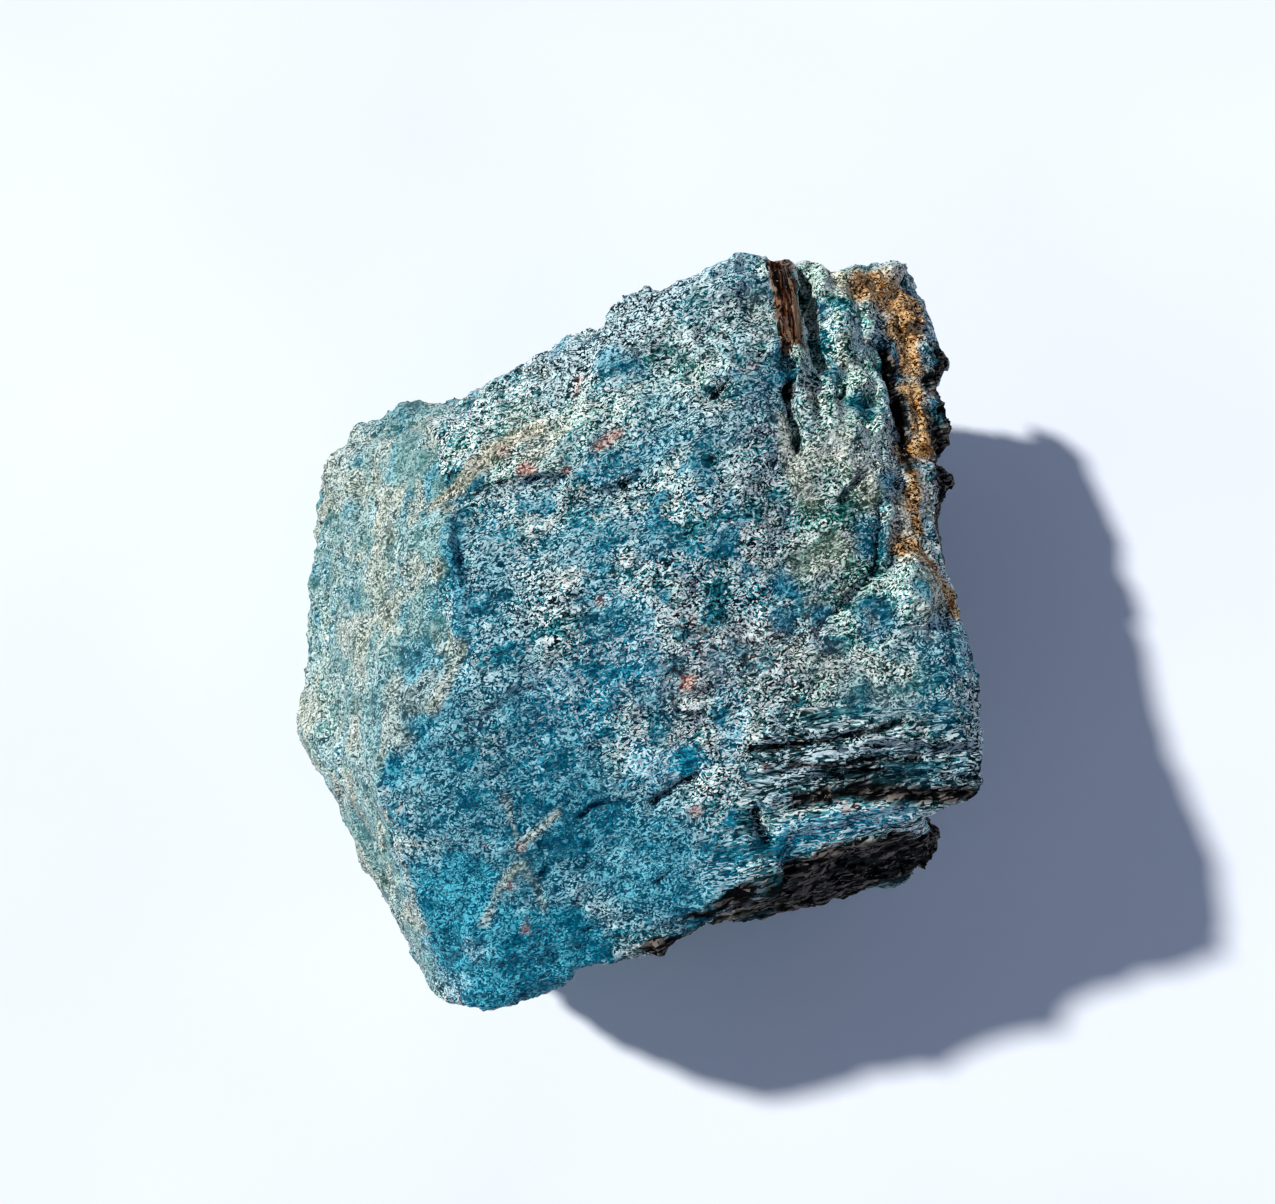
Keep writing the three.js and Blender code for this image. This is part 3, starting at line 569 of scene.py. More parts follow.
@dataclass(frozen=True)
class Unevenness:
    """Repeatable noise over points.

    Attributes:
        seed: Which of the endless patterns it gives.
    """

    CELL_STRIDES = np.array([0x9E3779B1, 0x85EBCA77, 0xC2B2AE3D], np.uint32)
    STIRS = ((15, 0x2C1B3C6D), (12, 0x297A2D39))
    LAST_SHIFT = 15
    SEED_STRIDE = 977
    CHANNEL_STRIDE = 7919
    WORD = 0xFFFFFFFF

    seed: int

    def at_cells(self, cells: np.ndarray, channel: int) -> np.ndarray:
        """One number from 0 to 1 for each whole-number cell.

        Args:
            cells: Whole-number places, three to a row.
            channel: Which of several unrelated numbers to give.

        Returns:
            One number for each row.
        """
        start = np.uint32((self.seed * self.SEED_STRIDE + channel * self.CHANNEL_STRIDE) & self.WORD)
        wide = (cells.astype(np.int64) & self.WORD).astype(np.uint32)
        mixed = (wide * self.CELL_STRIDES).sum(axis=1, dtype=np.uint32) + start
        for shift, factor in self.STIRS:
            mixed ^= mixed >> np.uint32(shift)
            mixed *= np.uint32(factor)
        mixed ^= mixed >> np.uint32(self.LAST_SHIFT)
        return mixed / (self.WORD + 1.0)

    def directions(self, cells: np.ndarray, channel: int) -> np.ndarray:
        """Three numbers from 0 to 1 for each cell."""
        return np.stack([self.at_cells(cells, channel + axis) for axis in range(3)], axis=1)

    def smooth(self, points: np.ndarray, wavelength: float, channel: int = 0) -> np.ndarray:
        """Smooth hills and hollows from -1 to 1.

        Args:
            points: Points in millimetres.
            wavelength: The distance from one hill to the next, in millimetres.
            channel: Which pattern.

        Returns:
            One height for each point.
        """
        place = points / wavelength
        base = np.floor(place)
        part = place - base
        part = part * part * (3 - 2 * part)
        total = np.zeros(len(points))
        for corner in range(8):
            step = np.array([corner & 1, (corner >> 1) & 1, corner >> 2])
            weight = np.prod(np.where(step, part, 1 - part), axis=1)
            total += weight * self.at_cells(base + step, channel)
        return 2 * total - 1

    def rough(self, points: np.ndarray, wavelength: float, channel: int = 0) -> np.ndarray:
        """Hills with smaller hills on them, from about -1 to 1, over three scales.

        Args:
            points: Points in millimetres.
            wavelength: The distance from one large hill to the next, in millimetres.
            channel: Which pattern.

        Returns:
            One height for each point.
        """
        total = np.zeros(len(points))
        for octave in range(3):
            total += self.smooth(points, wavelength / 2**octave, channel + octave) / 2**octave
        return total / 1.4

    def facets(self, points: np.ndarray, size: float, channel: int = 0) -> np.ndarray:
        """Heights of flat facets that each lean their own way, from about -1 to 1.

        Args:
            points: Points in millimetres.
            size: How far apart the facets' middles are.
            channel: Which pattern.

        Returns:
            One height for each point.
        """
        place = points / size
        base = np.floor(place)
        nearest = np.full(len(points), 9.0)
        height = np.zeros(len(points))
        for corner in range(27):
            cell = base + np.array([corner % 3, (corner // 3) % 3, corner // 9]) - 1
            away = place - (cell + self.directions(cell, channel))
            distance = np.einsum("ij,ij->i", away, away)
            closer = distance < nearest
            lean = self.directions(cell, channel + 3) - 0.5
            own = 2.2 * np.einsum("ij,ij->i", away, lean) + self.at_cells(cell, channel + 6) - 0.5
            height = np.where(closer, own, height)
            nearest = np.where(closer, distance, nearest)
        return height


def distance_to_path(points: np.ndarray, path: np.ndarray) -> tuple[np.ndarray, np.ndarray]:
    """How far each point is from a path, and on which side of it.

    Args:
        points: Points, one to a row.
        path: The path's own points, with as many columns.

    Returns:
        The distance for each point, and its side: 1 to the right of a path on plan, -1 to its left.
    """
    nearest = np.full(len(points), 1e9)
    side = np.zeros(len(points))
    starts, ends = (path[:-1], path[1:]) if len(path) > 1 else (path, path)
    for start, end in zip(starts, ends):
        along = end - start
        length = float(along @ along)
        share = np.clip((points - start) @ along / length, 0, 1) if length else np.zeros(len(points))
        away = points - start - share[:, None] * along
        distance = np.linalg.norm(away, axis=1)
        closer = distance < nearest
        nearest = np.where(closer, distance, nearest)
        side = np.where(closer, along[1] * away[:, 0] - along[0] * away[:, 1] if length else 0.0, side)
    return nearest, np.sign(side)


@dataclass
class StoneBody:
    """The stone itself: the CAD solid, broken up finely and marked with its zones.

    Attributes:
        voxel: Spacing of the fine surface, in millimetres.
        passes: How many times the fine surface is eased.
        seed: Which pattern of roughness it has.
        chunk_relief: How far the coarse facets stand up and down.
        grain_relief: How far the grain-size facets stand up and down.
        streak_relief: How far the grain of the rock stands up and down.
        block_relief: How far the blocks of the clear ground stand up and down.
        layer_relief: How far the thin layers of the mica stand up and down.
        ridge_relief: How far the ridges of the low shelf stand up and down.
        streak_turn: Which way the grain of the rock runs, in degrees from +X towards +Y.
        jitter: How far a point of the fine surface is moved sideways at most, in millimetres.
    """

    ZONE_SEED = 40
    SCATTER_SEED = 60
    JITTER_SEED = 80
    STAIN_CHANNELS = 3
    SCATTER_CHANNELS = 5
    CELLS_PER_MM = 50

    voxel: float = 0.4
    passes: int = 2
    seed: int = 11
    chunk_relief: float = 0.22
    grain_relief: float = 0.07
    streak_relief: float = 0.14
    block_relief: float = 0.26
    layer_relief: float = 0.42
    ridge_relief: float = 0.28
    streak_turn: float = 17.0
    jitter: float = 0.07

    def build(self, finishes: tuple[bpy.types.Material, ...]) -> bpy.types.Object:
        """Makes the finished body.

        Args:
            finishes: The finishes of the sugary rock, the layered rock, the brown break and the mica, which
                also darkens the walls as painted shade.

        Returns:
            The body, with its zone masks as attributes.
        """
        mesh = self._fine_copy()
        normals = self._outward(mesh)
        points = self._relaxed(mesh, read_points(mesh))
        masks = self._zone_masks(points, normals)
        relief = self._relief(points, normals, masks)
        loose = 1 - 0.8 * masks[Zone.CLEAR]
        points = kept_inside(points + normals * relief[:, None] + self._jittered(points) * loose[:, None])
        write_points(mesh, points)
        for zone, mask in masks.items():
            store(mesh, zone.value, mask)
        # The relief's height, which the rock's finishes read to paint shade into the hollows and cracks.
        store(mesh, "height", np.clip(0.5 + relief, 0, 1))
        store(mesh, "open_ground", eased(points[:, 2], 0.6, 1.6))
        mesh.materials.clear()
        for finish in finishes:
            mesh.materials.append(finish)
        self._dress_faces(mesh, masks, self._layered_corner(points))
        return placed("apatite_rock", mesh)

    def _fine_copy(self) -> bpy.types.Mesh:
        """A merged, evenly fine copy of the CAD solid's surface.

        Returns:
            The new mesh.
        """
        merged = bmesh.new()
        merged.from_mesh(frame["nodes"][STONE_NODE].data)
        bmesh.ops.remove_doubles(merged, verts=merged.verts, dist=1e-6)
        coarse = bpy.data.meshes.new("coarse_stone")
        merged.to_mesh(coarse)
        merged.free()
        holder = placed("coarse_stone", coarse)
        remesh = holder.modifiers.new("even", "REMESH")
        remesh.mode = "VOXEL"
        remesh.voxel_size = self.voxel * MM
        remesh.use_smooth_shade = True
        evaluated = holder.evaluated_get(bpy.context.evaluated_depsgraph_get())
        fine = bpy.data.meshes.new_from_object(evaluated)
        fine.name = "apatite_rock"
        bpy.data.objects.remove(holder)
        bpy.data.meshes.remove(coarse)
        return fine

    @staticmethod
    def _outward(mesh: bpy.types.Mesh) -> np.ndarray:
        """The outward direction at each point.

        Args:
            mesh: Any mesh.

        Returns:
            Three numbers for each point.
        """
        normals = np.zeros(len(mesh.vertices) * 3, np.float32)
        mesh.vertex_normals.foreach_get("vector", normals)
        return normals.reshape(-1, 3).astype(float)

    def _relaxed(self, mesh: bpy.types.Mesh, points: np.ndarray) -> np.ndarray:
        """Points eased towards the middle of their neighbours.

        Args:
            mesh: The mesh whose edges join the points.
            points: Its points in millimetres.

        Returns:
            The moved points.
        """
        edges = np.zeros(len(mesh.edges) * 2, np.int32)
        mesh.edges.foreach_get("vertices", edges)
        one, other = edges.reshape(-1, 2).T
        counts = np.bincount(one, minlength=len(points)) + np.bincount(other, minlength=len(points))
        for _ in range(self.passes):
            middle = np.stack([
                np.bincount(one, points[other, axis], len(points))
                + np.bincount(other, points[one, axis], len(points))
                for axis in range(3)
            ], axis=1) / counts[:, None]
            points = 0.5 * points + 0.5 * middle
        return points

    def _jittered(self, points: np.ndarray) -> np.ndarray:
        """A small random move for each point, so that no even spacing shows."""
        moves = Unevenness(self.seed + self.JITTER_SEED).directions(np.floor(points * self.CELLS_PER_MM), 0)
        return (2 * moves - 1) * self.jitter * eased(points[:, 2], 0.6, 1.6)[:, None]

    def _zone_masks(self, points: np.ndarray, normals: np.ndarray) -> dict[Zone, np.ndarray]:
        """How fully each zone shows at each point.

        Args:
            points: Points in millimetres.
            normals: Their outward directions.

        Returns:
            A mask from 0 to 1 for each zone.
        """
        ragged = Unevenness(self.seed + self.ZONE_SEED)
        masks = {zone: np.zeros(len(points)) for zone in Zone}

        def lay(zone: Zone, mask: np.ndarray) -> None:
            """Adds a mask to its zone."""
            masks[zone] = np.maximum(masks[zone], mask)

        for index, stain in enumerate(STAINS):
            distance, _ = distance_to_path(points, np.array(stain.path))
            wander = ragged.rough(points, max(1.2, stain.reach * 0.7), self.STAIN_CHANNELS * index)
            reach = stain.reach * (1 + 0.45 * wander)
            lay(stain.zone, stain.strength * eased(1 - distance / np.maximum(reach, 0.05), 0.0, 0.75))
        # Dark layered rock on the walls, darkened further as painted shade where they face away from the key
        # light.
        lay(Zone.MICA_AND_SHADE, self._dark_shaded_walls(points, normals, ragged))
        lay(Zone.PALE, self._pale_side(points, ragged))
        lay(Zone.BROWN, self._brown_break(points))
        fibres = ragged.rough(points / (1.0, 7.0, 7.0), 0.9, Pattern.FIBRES)
        lay(Zone.MICA_AND_SHADE, 0.9 * masks[Zone.BROWN] * eased(fibres, 0.0, 0.3))
        self._strew(points, masks)
        return {zone: np.clip(mask, 0, 1) for zone, mask in masks.items()}

    def _strew(self, points: np.ndarray, masks: dict[Zone, np.ndarray]) -> None:
        """Adds the scattered patches to the masks.

        Args:
            points: Points in millimetres.
            masks: The zones at each point, which are changed in place.
        """
        noise = Unevenness(self.seed + self.SCATTER_SEED)
        grounds = {zone: np.clip(masks[zone], 0, 1) for zone in (Zone.PALE, Zone.GREEN)}
        grounds[None] = (1 - grounds[Zone.PALE]) * (1 - grounds[Zone.GREEN])
        grounds[None] = grounds[None] * (1 - 0.7 * np.clip(masks[Zone.GREY], 0, 1))
        for index, scatter in enumerate(SCATTERS):
            height = noise.rough(points, scatter.wavelength, self.SCATTER_CHANNELS * index)
            patch = eased(height, scatter.threshold, scatter.threshold + 0.25)
            patch = patch * scatter.strength * grounds[scatter.within]
            masks[scatter.zone] = np.maximum(masks[scatter.zone], patch)

    @classmethod
    def _dark_shaded_walls(cls, points: np.ndarray, normals: np.ndarray, ragged: Unevenness) -> np.ndarray:
        """The dark layered rock on the walls under the south-east lip and on the east side, darkened as
        painted shade where these walls face away from the key light.

        Args:
            points: Points in millimetres.
            normals: Their outward directions.
            ragged: The noise that frays the edges.

        Returns:
            How fully the dark rock shows at each point.
        """
        frayed = eased(-points[:, 2], -34.0, -28.0)
        frayed = frayed * ragged.rough(points / (1.0, 1.0, 1.8), 6.0, Pattern.WALL_ENDS)
        south = cls._shaded_south_wall(points, ragged, frayed)
        east = cls._shaded_east_wall(points, normals, frayed)
        patchy = 1.0 + 0.5 * ragged.rough(points, 5.0, Pattern.WALL_PATCHES)
        return np.clip(np.maximum(south, east * patchy) * 1.2, 0, 1)

    @staticmethod
    def _shaded_south_wall(points: np.ndarray, ragged: Unevenness, frayed: np.ndarray) -> np.ndarray:
        """The dark rock under the lip, partly dark layers and partly painted shade under the lip, with
        lighter layers in its west part.

        Args:
            points: Points in millimetres.
            ragged: The noise that frays its edges.
            frayed: How far its ends ravel.

        Returns:
            How fully it shows at each point.
        """
        x, _, z = points.T
        distance, side = distance_to_path(points[:, :2], np.array(LIP))
        beyond = distance * side + 0.35 * ragged.rough(points, 2.4, Pattern.WALL_TOP) + 3.4 * frayed
        foot = 15.0 + 3 * ragged.rough(points, 7.0, Pattern.WALL_FOOT)
        lighter = eased(ragged.rough(points / (3.5, 1.2, 1.0), 1.2, Pattern.WALL_LAYERS), -0.1, 0.2)
        wall = eased(beyond, -0.15, 0.3) * eased(x, 1.0, 4.0) * eased(z, 8.0, foot)
        return wall * (1 - 0.75 * lighter * (1 - eased(x, 7.0, 20.0)))

    @staticmethod
    def _shaded_east_wall(points: np.ndarray, normals: np.ndarray, frayed: np.ndarray) -> np.ndarray:
        """The dark rock on the steep part of the east side, partly dark layers and partly painted shade on a
        side that faces away from the key light.

        Args:
            points: Points in millimetres.
            normals: Their outward directions.
            frayed: How far its ends ravel.

        Returns:
            How fully it shows at each point.
        """
        x, y, z = points.T
        wall = eased(normals[:, 0], 0.5, 0.75) * eased(x, 27.2, 28.6) * eased(-z, -33.0, -30.0)
        north_end = eased(-y + 3 * frayed, -24.6, -23.4)
        south_end = eased(y + 6 * frayed, -6.0, 2.0)
        return wall * (north_end * south_end * eased(z + 9 * frayed, 8.0, 16.0))

    @staticmethod
    def _pale_side(points: np.ndarray, ragged: Unevenness) -> np.ndarray:
        """The paler, weathered ground west of the ridge and low down.

        Args:
            points: Points in millimetres.
            ragged: The noise that frays its edges.

        Returns:
            How fully it shows at each point.
        """
        distance, side = distance_to_path(points[:, :2], np.array(RIDGE))
        beyond = distance * side + 0.5 * ragged.rough(points, 3.0, Pattern.PALE_EDGE)
        patchy = 0.86 + 0.5 * ragged.rough(points, 6.5, Pattern.PALE_PATCHES)
        foot = ragged.rough(points, 8.0, Pattern.PALE_FOOT)
        lower = 0.8 * eased(-points[:, 2] + 5 * foot, -27.0, -17.0)
        return np.maximum(eased(beyond, -0.1, 0.5), lower) * np.clip(patchy, 0.35, 1)

    @staticmethod
    def _brown_break(points: np.ndarray) -> np.ndarray:
        """The brown, fibrous slope between the top face and the low shelf.

        Args:
            points: Points in millimetres.

        Returns:
            How fully it shows at each point.
        """
        x, y, z = points.T
        middle = 15.55 - 0.11 * (y - 26.0)
        return eased(-np.abs(x - middle), -1.3, -1.0) * eased(y, 21.2, 21.8) * eased(z, 29.0, 31.0)

    def _relief(self, points: np.ndarray, normals: np.ndarray, masks: dict[Zone, np.ndarray]) -> np.ndarray:
        """How far each point moves outwards, in millimetres.

        Args:
            points: Points in millimetres.
            normals: Their outward directions.
            masks: The zones at each point.

        Returns:
            One distance for each point, below 0 where it is a hollow.
        """
        noise = Unevenness(self.seed)
        x, y, z = points.T
        blocky = self.chunk_relief * (1 + 0.9 * eased(y - 0.35 * x, 8.0, 18.0))
        chunks = noise.facets(points, 2.6, Pattern.CHUNKS)
        chunks = chunks + 0.5 * noise.facets(points, 1.4, Pattern.SMALL_CHUNKS)
        grains = noise.facets(points, 0.9, Pattern.GRAINS)
        grains = grains + 0.7 * noise.smooth(points, 0.8, Pattern.SMALL_GRAINS)
        plain = 1 - 0.85 * masks[Zone.CLEAR]
        relief = plain * (blocky * chunks + self.grain_relief * grains)
        relief = relief + plain * self._streaks(points, noise) * (1 - masks[Zone.MICA_AND_SHADE])
        relief += masks[Zone.CLEAR] * self.block_relief * noise.facets(points, 2.3, Pattern.BLOCKS)
        relief += masks[Zone.MICA_AND_SHADE] * self._layers(points, normals, noise)
        relief += self._shelf_ridges(points, noise)
        upward = eased(normals[:, 2], 0.15, 0.45) * eased(z, 20.0, 24.0)
        for crack in CRACKS:
            relief -= upward * self._crack_depth(points, crack, noise)
        for edge in FLAKE_EDGES:
            relief -= upward * self._flake_drop(points, edge)
        return relief * eased(z, 0.1, 1.4)

    def _streaks(self, points: np.ndarray, noise: Unevenness) -> np.ndarray:
        """Long low waves along the grain of the rock.

        Args:
            points: Points in millimetres.
            noise: The noise that shapes it.

        Returns:
            One height for each point.
        """
        x, y, z = points.T
        angle = math.radians(self.streak_turn)
        along = x * math.cos(angle) + y * math.sin(angle)
        across = -x * math.sin(angle) + y * math.cos(angle)
        stretched = np.stack([along / 4.5, across, z], axis=1)
        return self.streak_relief * noise.smooth(stretched, 0.95, Pattern.STREAKS)

    def _layers(self, points: np.ndarray, normals: np.ndarray, noise: Unevenness) -> np.ndarray:
        """Thin layers that stand up like the edges of pages where the mica shows.

        Args:
            points: Points in millimetres.
            normals: Their outward directions. The layers stand upright on the east side.
            noise: The noise that spaces the layers.

        Returns:
            One height for each point.
        """
        x, y, z = points.T
        faces_east = eased(normals[:, 0], 0.5, 0.8)[:, None]
        level = np.stack([x / 5.0, y + 0.12 * x, z], axis=1)
        upright = np.stack([x, y / 5.0, z / 3.0], axis=1)
        sheets = (1 - faces_east) * level + faces_east * upright
        thin = 0.16 * noise.smooth(sheets, 0.5, Pattern.THIN_LAYERS)
        return self.layer_relief * noise.smooth(sheets, 0.85, Pattern.LAYERS) + thin

    def _shelf_ridges(self, points: np.ndarray, noise: Unevenness) -> np.ndarray:
        """Blocky ridges that run north and south over the low shelf.

        Args:
            points: Points in millimetres.
            noise: The noise that shapes it.

        Returns:
            One height for each point.
        """
        x, y, z = points.T
        shelf = eased(x, 16.2, 17.4) * eased(y, 9.0, 15.0) * eased(z, 18.0, 22.0)
        upright = np.stack([x, y / 2.6, z / 2.6], axis=1)
        ridges = self.ridge_relief * noise.facets(upright, 1.9, Pattern.SHELF_RIDGES)
        return shelf * (ridges + 0.06 * noise.smooth(upright, 0.9, Pattern.SHELF_WAVES))

    @staticmethod
    def _crack_depth(points: np.ndarray, crack: Crack, noise: Unevenness) -> np.ndarray:
        """How deep a crack is at each point: deepest at its line, and closed at its ends.

        Args:
            points: Points in millimetres.
            crack: The crack.
            noise: The noise that makes its line wander.

        Returns:
            One depth for each point.
        """
        ways = (Pattern.CRACK_EASTWARD, Pattern.CRACK_NORTHWARD)
        wander = np.stack([noise.smooth(points, 1.6, way) for way in ways], axis=1)
        distance, _ = distance_to_path(points[:, :2] + 0.2 * wander, np.array(crack.path))
        return crack.depth * np.clip(1 - (distance / crack.width) ** 2, 0, 1)

    @staticmethod
    def _flake_drop(points: np.ndarray, edge: FlakeEdge) -> np.ndarray:
        """How much lower the ground is beside a flake's edge.

        Args:
            points: Points in millimetres.
            edge: The flake's edge.

        Returns:
            One drop for each point.
        """
        path = np.array(edge.path)
        distance, side = distance_to_path(points[:, :2], path)
        ends = np.minimum(*(np.linalg.norm(points[:, :2] - path[end], axis=1) for end in (0, -1)))
        signed = distance * side
        drop = edge.drop * eased(signed, -0.25, 0.25) * (1 - eased(signed, 0.5, edge.run))
        return drop * eased(ends, 0.2, 1.5)

    @staticmethod
    def _layered_corner(points: np.ndarray) -> np.ndarray:
        """How fully the rock is layered at each point: in the south-east corner of the top."""
        x, y, _ = points.T
        return eased(x - 0.4 * y, 14.0, 20.0) * eased(-y, 7.0, 10.0)

    @staticmethod
    def _dress_faces(mesh: bpy.types.Mesh, masks: dict[Zone, np.ndarray], layered: np.ndarray) -> None:
        """Gives each face its finish, and flat shading where the mica, the painted shade of the dark walls
        or the clear crystals show.

        Args:
            mesh: The fine mesh, with its finishes in order.
            masks: The zones at each point.
            layered: How fully the rock is layered at each point.
        """
        starts = np.zeros(len(mesh.polygons), np.int32)
        corners = np.zeros(len(mesh.loops), np.int32)
        mesh.polygons.foreach_get("loop_start", starts)
        mesh.loops.foreach_get("vertex_index", corners)
        counts = np.diff(np.append(starts, len(corners)))

        def over(values: np.ndarray) -> np.ndarray:
            """A mask's mean over each face."""
            return np.add.reduceat(values[corners], starts) / counts

        # The mica mask also holds the painted shade of the dark walls.
        mica, clear = over(masks[Zone.MICA_AND_SHADE]), over(masks[Zone.CLEAR])
        slots = np.select([mica > 0.55, over(masks[Zone.BROWN]) > 0.5, over(layered) > 0.5], [3, 2, 1], 0)
        mesh.polygons.foreach_set("material_index", slots.astype(np.int32))
        mesh.polygons.foreach_set("use_smooth", np.maximum(mica, clear) < 0.4)


class TreeMaker:
    """Places nodes in a node tree and links them."""

    def __init__(self, tree: bpy.types.NodeTree) -> None:
        """Starts on an empty tree."""
        self.tree = tree
        tree.nodes.clear()

    def add(self, kind: str, feeds: dict | None = None, **settings: object) -> bpy.types.Node:
        """Adds one node.

        Args:
            kind: The node's type.
            feeds: Its inputs by name or number, each a socket to link or a value to set.
            settings: Its own settings.

        Returns:
            The new node.
        """
        node = self.tree.nodes.new(kind)
        for name, value in settings.items():
            setattr(node, name, value)
        for key, value in (feeds or {}).items():
            if isinstance(value, Socket):
                self.tree.links.new(value, node.inputs[key])
            else:
                node.inputs[key].default_value = value
        return node

    def sockets(self, side: str, kind: str, *names: str) -> None:
        """Gives the tree named inputs or outputs of one kind."""
        for name in names:
            self.tree.interface.new_socket(name, in_out=side, socket_type=f"NodeSocket{kind}")

    def math(self, operation: str, one: object, other: object = 0.0, clamp: bool = False) -> Socket:
        """A sum, product or other operation on one or two values."""
        node = self.add("ShaderNodeMath", {0: one, 1: other}, operation=operation, use_clamp=clamp)
        return node.outputs[0]

    def changed(self, share: Socket, plain: float, full: float) -> Socket:
        """A number that goes from plain to full as the share goes from 0 to 1."""
        return self.math("ADD", self.math("MULTIPLY", share, full - plain), plain)

    def ranged(
        self, value: Socket, low: float, high: float, to_low: float = 0.0, to_high: float = 1.0
    ) -> Socket:
        """A value moved from one range to another and held inside it."""
        feeds = {"Value": value, "From Min": low, "From Max": high, "To Min": to_low, "To Max": to_high}
        return self.add("ShaderNodeMapRange", feeds).outputs[0]

    def vector(self, operation: str, one: object, other: object | None = None) -> Socket:
        """An operation on one or two vectors."""
        feeds = {0: one} if other is None else {0: one, 1: other}
        return self.add("ShaderNodeVectorMath", feeds, operation=operation).outputs[0]

    def scaled(self, vector: Socket, scale: object) -> Socket:
        """A vector made longer or shorter."""
        return self.add("ShaderNodeVectorMath", {0: vector, "Scale": scale}, operation="SCALE").outputs[0]

    def centred(self, colour: Socket, weight: object) -> Socket:
        """A random colour as a random direction."""
        return self.scaled(self.vector("SUBTRACT", colour, (0.5, 0.5, 0.5)), weight)

    def triple(self, x: object, y: object, z: object) -> Socket:
        """Three numbers as one vector."""
        return self.add("ShaderNodeCombineXYZ", {0: x, 1: y, 2: z}).outputs[0]

    def noise(self, place: Socket, scale: float, detail: float, output: str = "Fac") -> Socket:
        """Smooth noise around 0.5, or around a mid grey as a colour."""
        feeds = {"Vector": place, "Scale": scale, "Detail": detail}
        return self.add("ShaderNodeTexNoise", feeds).outputs[output]

    def cells(self, place: Socket, scale: Socket, feature: str = "F1", output: str = "Color") -> Socket:
        """A random colour for each grain of one size, or how far its border is."""
        feeds = {"Vector": place, "Scale": scale}
        return self.add("ShaderNodeTexVoronoi", feeds, feature=feature).outputs[output]

    def part(self, colour: Socket, index: int) -> Socket:
        """One channel of a colour."""
        return self.add("ShaderNodeSeparateColor", {0: colour}).outputs[index]

    def blend(self, share: object, one: Socket, other: Socket) -> Socket:
        """A colour between two colours."""
        return self.add("ShaderNodeMix", {0: share, 6: one, 7: other}, data_type="RGBA").outputs[2]

    def ramp(self, share: Socket, stops: tuple[tuple[float, Rgba], ...]) -> Socket:
        """A colour read off a scale of colours.

        Args:
            share: Where on the scale, from 0 to 1.
            stops: Each stop's place and colour.

        Returns:
            The colour's socket.
        """
        node = self.add("ShaderNodeValToRGB", {0: share})
        scale = node.color_ramp
        while len(scale.elements) < len(stops):
            scale.elements.new(0.5)
        for element, (place, colour) in zip(scale.elements, stops):
            element.position = place
            element.color = colour
        return node.outputs[0]

    def attribute(self, name: str) -> Socket:
        """The number kept at each point under a name."""
        return self.add("ShaderNodeAttribute", attribute_name=name).outputs["Fac"]


